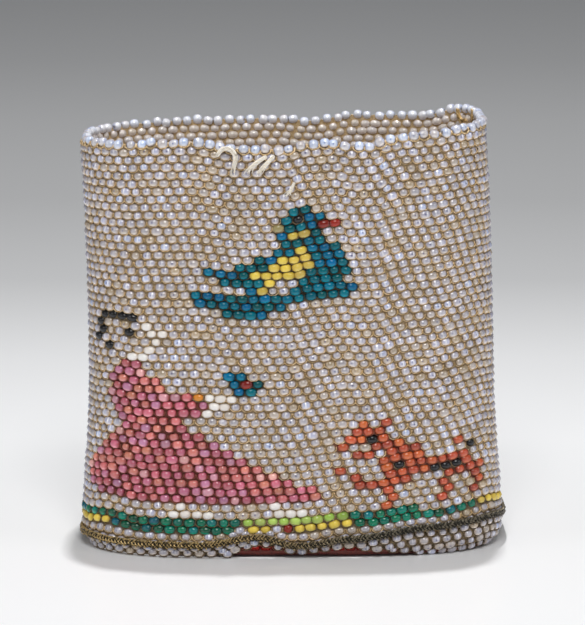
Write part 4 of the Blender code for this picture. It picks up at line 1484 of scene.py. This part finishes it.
@dataclass
class Base:
    """Bottom panel of red glass beads inside the hem, woven flat.

    Attributes:
        seed: Start of the random draws.
        edge_inset: Distance of the outer beads inwards from the bead layer's middle.
        row_pitch: Distance between rows.
        bead_pitch: Distance between beads of a row.
        radius: Radius of a bead.
        web_low: Height of the web's underside.
        web_high: Height of the web's top.
        web_margin: How far the web goes past the outer beads, to the hem.
        web_steps: Corners of the web's outline.
        web_weave: Turns of the web's strands along a metre.
        web_shade: How light the web is.
        shape: Shape of a bead.
        half_length: Half length of a bead.
        size_spread: How much the sizes of beads differ.
        twist: How far a bead turns in plan, in radians.
        slide: How far a bead strays from its row.
        lift: Most that a bead is raised.
    """

    seed: int = 31
    edge_inset: float = 3.6 * MM
    row_pitch: float = 2.0 * MM
    bead_pitch: float = 2.55 * MM
    radius: float = 0.95 * MM
    web_low: float = 0.7 * MM
    web_high: float = 1.1 * MM
    web_margin: float = 2.3 * MM
    web_steps: int = 96
    web_weave: float = 800.0
    web_shade: float = 0.8
    shape: BeadShape = BeadShape(8, ((-1.0, 0.34), (-0.7, 0.84), (0.0, 1.0), (0.7, 0.84), (1.0, 0.34)))
    half_length: float = 1.12 * MM
    size_spread: float = 0.05
    twist: float = 0.12
    slide: float = 0.1 * MM
    lift: float = 0.25 * MM

    def build(self) -> None:
        """Make the beads and the web between them."""
        draw = random.Random(self.seed)
        half_width, half_depth = (size - self.edge_inset for size in WALL.half_sizes(WALL.hem_radius))
        power = WALL.corner_squareness
        bead = self.shape.mesh("base_bead")
        copies = []
        rows = int(half_depth / self.row_pitch)
        for row in range(-rows, rows + 1):
            y = row * self.row_pitch
            reach = half_width * (1.0 - abs(y / half_depth) ** power) ** (1.0 / power)
            count = int(2 * reach / self.bead_pitch)
            for number in range(count + 1):
                x = (number - count / 2) * self.bead_pitch
                size = self.radius * (1.0 + draw.gauss(0, self.size_spread))
                turn = Matrix.Rotation(draw.gauss(0, self.twist), 4, "Z")
                stray = draw.uniform(-self.slide, self.slide)
                place = Matrix.Translation((x, y + stray, size + draw.uniform(0, self.lift)))
                scale = Matrix.Diagonal((self.half_length, size, size, 1.0))
                copies.append((place @ turn @ scale, random_tone(draw)))
        shape = bmesh.new()
        stamp_all(shape, bead, copies, "bead_tone")
        bpy.data.meshes.remove(bead)
        add_piece("base_red_glass_beads", shape, BASE_RED.material(), ("red_bead_base",))
        self.build_web()

    def build_web(self) -> None:
        """Make the flat web that the base beads are woven into."""
        shape = bmesh.new()
        bmesh.ops.create_circle(shape, cap_ends=True, segments=self.web_steps, radius=1.0)
        inset = self.edge_inset - self.web_margin
        half_width, half_depth = (size - inset for size in WALL.half_sizes(WALL.hem_radius))
        for index, vertex in enumerate(shape.verts):
            turn = WALL.turn_of(index / self.web_steps)
            x, y = WALL.outline_point(half_width, half_depth, turn)
            vertex.co = (x, y, self.web_low)
        raised = bmesh.ops.extrude_face_region(shape, geom=shape.faces[:])
        top = [item for item in raised["geom"] if isinstance(item, bmesh.types.BMVert)]
        bmesh.ops.translate(shape, verts=top, vec=(0.0, 0.0, self.web_high - self.web_low))
        bmesh.ops.recalc_face_normals(shape, faces=shape.faces[:])
        place, tone = thread_layers(shape)
        for vertex in shape.verts:
            vertex[place] = (vertex.co.x * self.web_weave, vertex.co.y * self.web_weave, 0.0)
            vertex[tone] = (self.web_shade, 0.0, 0.0)
        add_piece("base_thread_web", shape, RED_THREAD.material(), ("red_bead_base",))


@dataclass(frozen=True)
class LooseEnd:
    """One loose, untwisting thread end.

    Attributes:
        name: The piece's name.
        node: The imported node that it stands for.
        route: Its way over the beads, as chart (column, row) places.
        fan: How far its strands spread at the free end.
        thickness: Radius of the whole thread.
        outwards: 1 for a thread on the outside of the wall, and -1 for one on the inside.
        finish: Finish of the thread.
    """

    name: str
    node: str
    route: tuple[Place, ...]
    fan: float = 0.9 * MM
    thickness: float = 0.36 * MM
    outwards: float = 1.0
    finish: ThreadFinish = LOOSE_LINEN


@dataclass
class LooseEnds:
    """The loose linen ends at the front of the rim and the thread wound round its right corner.

    Attributes:
        ends: The threads.
        seed: Start of the random draws.
        strands: Strands of one thread.
        radius: Radius of a strand.
        points: Points along a strand.
        winding: Turn of the strands along the thread, in radians.
        bundle: Radius of the thread at its start and what it gains to its end, in thicknesses.
        clear: Distance of the thread's underside from the bead layer's middle.
        fan_start: Share of the way at which the strands fan out.
        fan_growth: Size and power of the fan.
        thin_start: Share of the way at which a strand thins.
        thin_end: Thickness that a strand has lost at its end.
        sides: Faces round a strand.
        shades: Least and most of a strand's shade.
    """

    ends: tuple[LooseEnd, ...] = (
        LooseEnd(
            "loose_thread_loop", "thread_loop",
            ((-5.9, 49.0), (-5.4, 49.9), (-4.7, 50.0), (-4.3, 49.2), (-4.5, 47.9), (-4.7, 46.9)),
            0.5 * MM, 0.42 * MM,
        ),
        LooseEnd(
            "loose_thread_left", "thread_end_left",
            ((-1.6, 49.2), (-2.2, 48.7), (-2.8, 48.0), (-3.3, 47.2)),
        ),
        LooseEnd(
            "loose_thread_right", "thread_end_right",
            ((-0.9, 49.3), (-1.3, 48.7), (-1.8, 48.0), (-2.3, 47.0)),
        ),
        LooseEnd(
            "loose_thread_fray", "thread_fray", ((0.8, 45.7), (0.5, 45.0), (0.1, 44.4)), 1.3 * MM, 0.28 * MM,
        ),
        LooseEnd(
            "rim_thread_wrap_left", "rim_beads", ((30.9, 50.0), (30.8, 49.3), (30.2, 48.6), (29.2, 48.8)),
            0.0, 0.55 * MM, -1.0, GOLD_LINEN,
        ),
        LooseEnd(
            "rim_thread_wrap_right", "rim_beads", ((27.4, 50.5), (27.3, 49.6), (27.9, 48.8), (28.9, 48.4)),
            0.0, 0.34 * MM, -1.0, GOLD_LINEN,
        ),
    )
    seed: int = 41
    strands: int = 9
    radius: float = 0.18 * MM
    points: int = 20
    winding: float = 5.0
    bundle: Span = (0.75, 0.5)
    clear: float = 0.95 * MM
    fan_start: float = 0.55
    fan_growth: Span = (2.2, 1.5)
    thin_start: float = 0.6
    thin_end: float = 0.65
    sides: int = 4
    shades: Span = (0.8, 1.1)

    def build(self) -> None:
        """Make each thread."""
        finishes = dict.fromkeys(end.finish for end in self.ends)
        materials = {finish: finish.material() for finish in finishes}
        draw = random.Random(self.seed)
        for end in self.ends:
            shape = bmesh.new()
            for strand in range(self.strands):
                self.add_strand(shape, draw, end, strand)
            add_piece(end.name, shape, materials[end.finish], (end.node,))

    def add_strand(self, shape: bmesh.types.BMesh, draw: random.Random, end: LooseEnd, strand: int) -> None:
        """Add one strand of a thread, wound round its middle and fanned out at the end."""
        points, sizes = [], []
        start = 2 * math.pi * strand / self.strands
        fan = Vector((draw.uniform(-1, 1), 0.0, draw.uniform(-0.6, 0.8))) * end.fan
        growth, power = self.fan_growth
        for number in range(self.points):
            share = number / (self.points - 1)
            column, row = smooth_place(end.route, share)
            angle = start + self.winding * share
            bundle = end.thickness * (self.bundle[0] + self.bundle[1] * share)
            seat = WALL.seat(column, row, (self.clear + end.thickness) * end.outwards)
            lift = -abs(math.sin(angle)) * end.outwards
            offset = Vector((math.cos(angle) * bundle, lift * bundle, math.sin(angle) * bundle))
            points.append(seat @ (offset + fan * max(0.0, share - self.fan_start) ** power * growth))
            thinned = max(0.0, share - self.thin_start) / (1.0 - self.thin_start)
            sizes.append(self.radius * (1.0 - self.thin_end * thinned))
        tube(shape, points, sizes, self.sides, draw.uniform(*self.shades))


@dataclass(frozen=True)
class Lamp:
    """One square softbox that faces the pouch.

    Attributes:
        name: Its name.
        place: Its place.
        size: Its side.
        power: Its power in watts.
    """

    name: str
    place: Point
    size: float
    power: float


@dataclass
class Stage:
    """The pale table, the soft lights and the camera.

    Attributes:
        table_radius: Radius of the table.
        table_reach: Distance behind the pouch at which its painted greys end.
        painted_table_greys: Painted shading of the table, as (share of that distance, grey).
        table_cast: How much more green and blue there is in a grey than red.
        table_roughness: Roughness of the table.
        table_gloss: Strength of its reflections.
        air: Colour of the light from all round.
        air_strength: Strength of that light.
        lamps: Key light above the front, a small lamp overhead and fill from both sides.
        lamp_aim: Place that the lamps face.
        lens: Focal length of the camera, in millimetres.
        film: Width of its film, in millimetres.
        sight: How far the camera sees.
        camera_place: Place of the camera.
        camera_aim: Place that it faces.
    """

    table_radius: float = 6.0
    table_reach: float = 1.7
    painted_table_greys: tuple[Place, ...] = (
        (0.0, 0.88), (0.058, 0.95), (0.123, 0.86), (0.208, 0.65), (0.326, 0.59), (0.5, 0.65), (0.69, 0.68),
        (1.0, 0.82),
    )
    table_cast: Span = (1.005, 1.015)
    table_roughness: float = 0.3
    table_gloss: float = 0.15
    air: Colour = (0.95, 0.97, 1.0)
    air_strength: float = 0.16
    lamps: tuple[Lamp, ...] = (
        Lamp("key", (0.02, -0.66, 0.88), 0.42, 5.2),
        Lamp("overhead", (0.0, 0.16, 1.45), 0.05, 12.0),
        Lamp("fill_right", (0.85, -0.45, 0.40), 0.50, 1.45),
        Lamp("fill_left", (-0.85, -0.45, 0.40), 0.50, 1.25),
    )
    lamp_aim: Point = (0.0, 0.0, 0.05)
    lens: float = 163.07
    film: float = 36.0
    sight: float = 20.0
    camera_place: Point = (-0.3 * MM, -680.0 * MM, 185.0 * MM)
    camera_aim: Point = (0.1 * MM, 0.0, 55.0 * MM)

    def build(self) -> None:
        """Make the stage."""
        self.build_table()
        self.build_air()
        for lamp in self.lamps:
            light = bpy.data.lights.new(lamp.name, "AREA")
            light.size = lamp.size
            light.energy = lamp.power
            self.add_item(lamp.name, light, lamp.place, self.lamp_aim)
        self.build_camera()

    def build_table(self) -> None:
        """Pale table with painted shading, greying far behind the pouch."""
        shape = bmesh.new()
        bmesh.ops.create_circle(shape, cap_ends=True, segments=64, radius=self.table_radius)
        mesh = bpy.data.meshes.new("table")
        shape.to_mesh(mesh)
        shape.free()
        table = bpy.data.objects.new("table", mesh)
        bpy.context.scene.collection.objects.link(table)
        shader = Shader("table_top")
        _, away, _ = shader.position()
        green, blue = self.table_cast
        # Painted shading: the greys fall off far behind the pouch and offset the lamps' own falloff.
        stops = [(share, (grey, grey * green, grey * blue)) for share, grey in self.painted_table_greys]
        colour = shader.ramp(shader.math("DIVIDE", away, self.table_reach), stops)
        mesh.materials.append(shader.surface(colour, self.table_roughness))
        shader.principled.inputs["Specular IOR Level"].default_value = self.table_gloss

    def build_air(self) -> None:
        """Even pale light from all round."""
        world = bpy.data.worlds.new("studio")
        world.use_nodes = True
        background = world.node_tree.nodes["Background"]
        background.inputs["Color"].default_value = (*self.air, 1.0)
        background.inputs["Strength"].default_value = self.air_strength
        bpy.context.scene.world = world

    def build_camera(self) -> None:
        """Camera at the photograph's viewing angle."""
        camera = bpy.data.cameras.new("camera")
        camera.lens = self.lens
        camera.sensor_width = self.film
        camera.clip_end = self.sight
        bpy.context.scene.camera = self.add_item("camera", camera, self.camera_place, self.camera_aim)

    def add_item(self, name: str, data: bpy.types.ID, place: Point, target: Point) -> bpy.types.Object:
        """Add a lamp or camera at a place, facing a target."""
        item = bpy.data.objects.new(name, data)
        item.location = place
        aim = Vector(target) - item.location
        item.rotation_euler = aim.to_track_quat("-Z", "Y").to_euler()
        bpy.context.scene.collection.objects.link(item)
        return item


def main() -> None:
    """Build the pouch's looks and its stage."""
    logging.basicConfig(level=logging.INFO, format="%(message)s")
    scene = bpy.context.scene
    scene.view_settings.view_transform = "Standard"
    beadwork = Beadwork()
    beadwork.build()
    ThreadWork().build(beadwork.stitches)
    Rim().build()
    Plait().build()
    Base().build()
    LooseEnds().build()
    Stage().build()


if __name__ == "__main__":
    main()
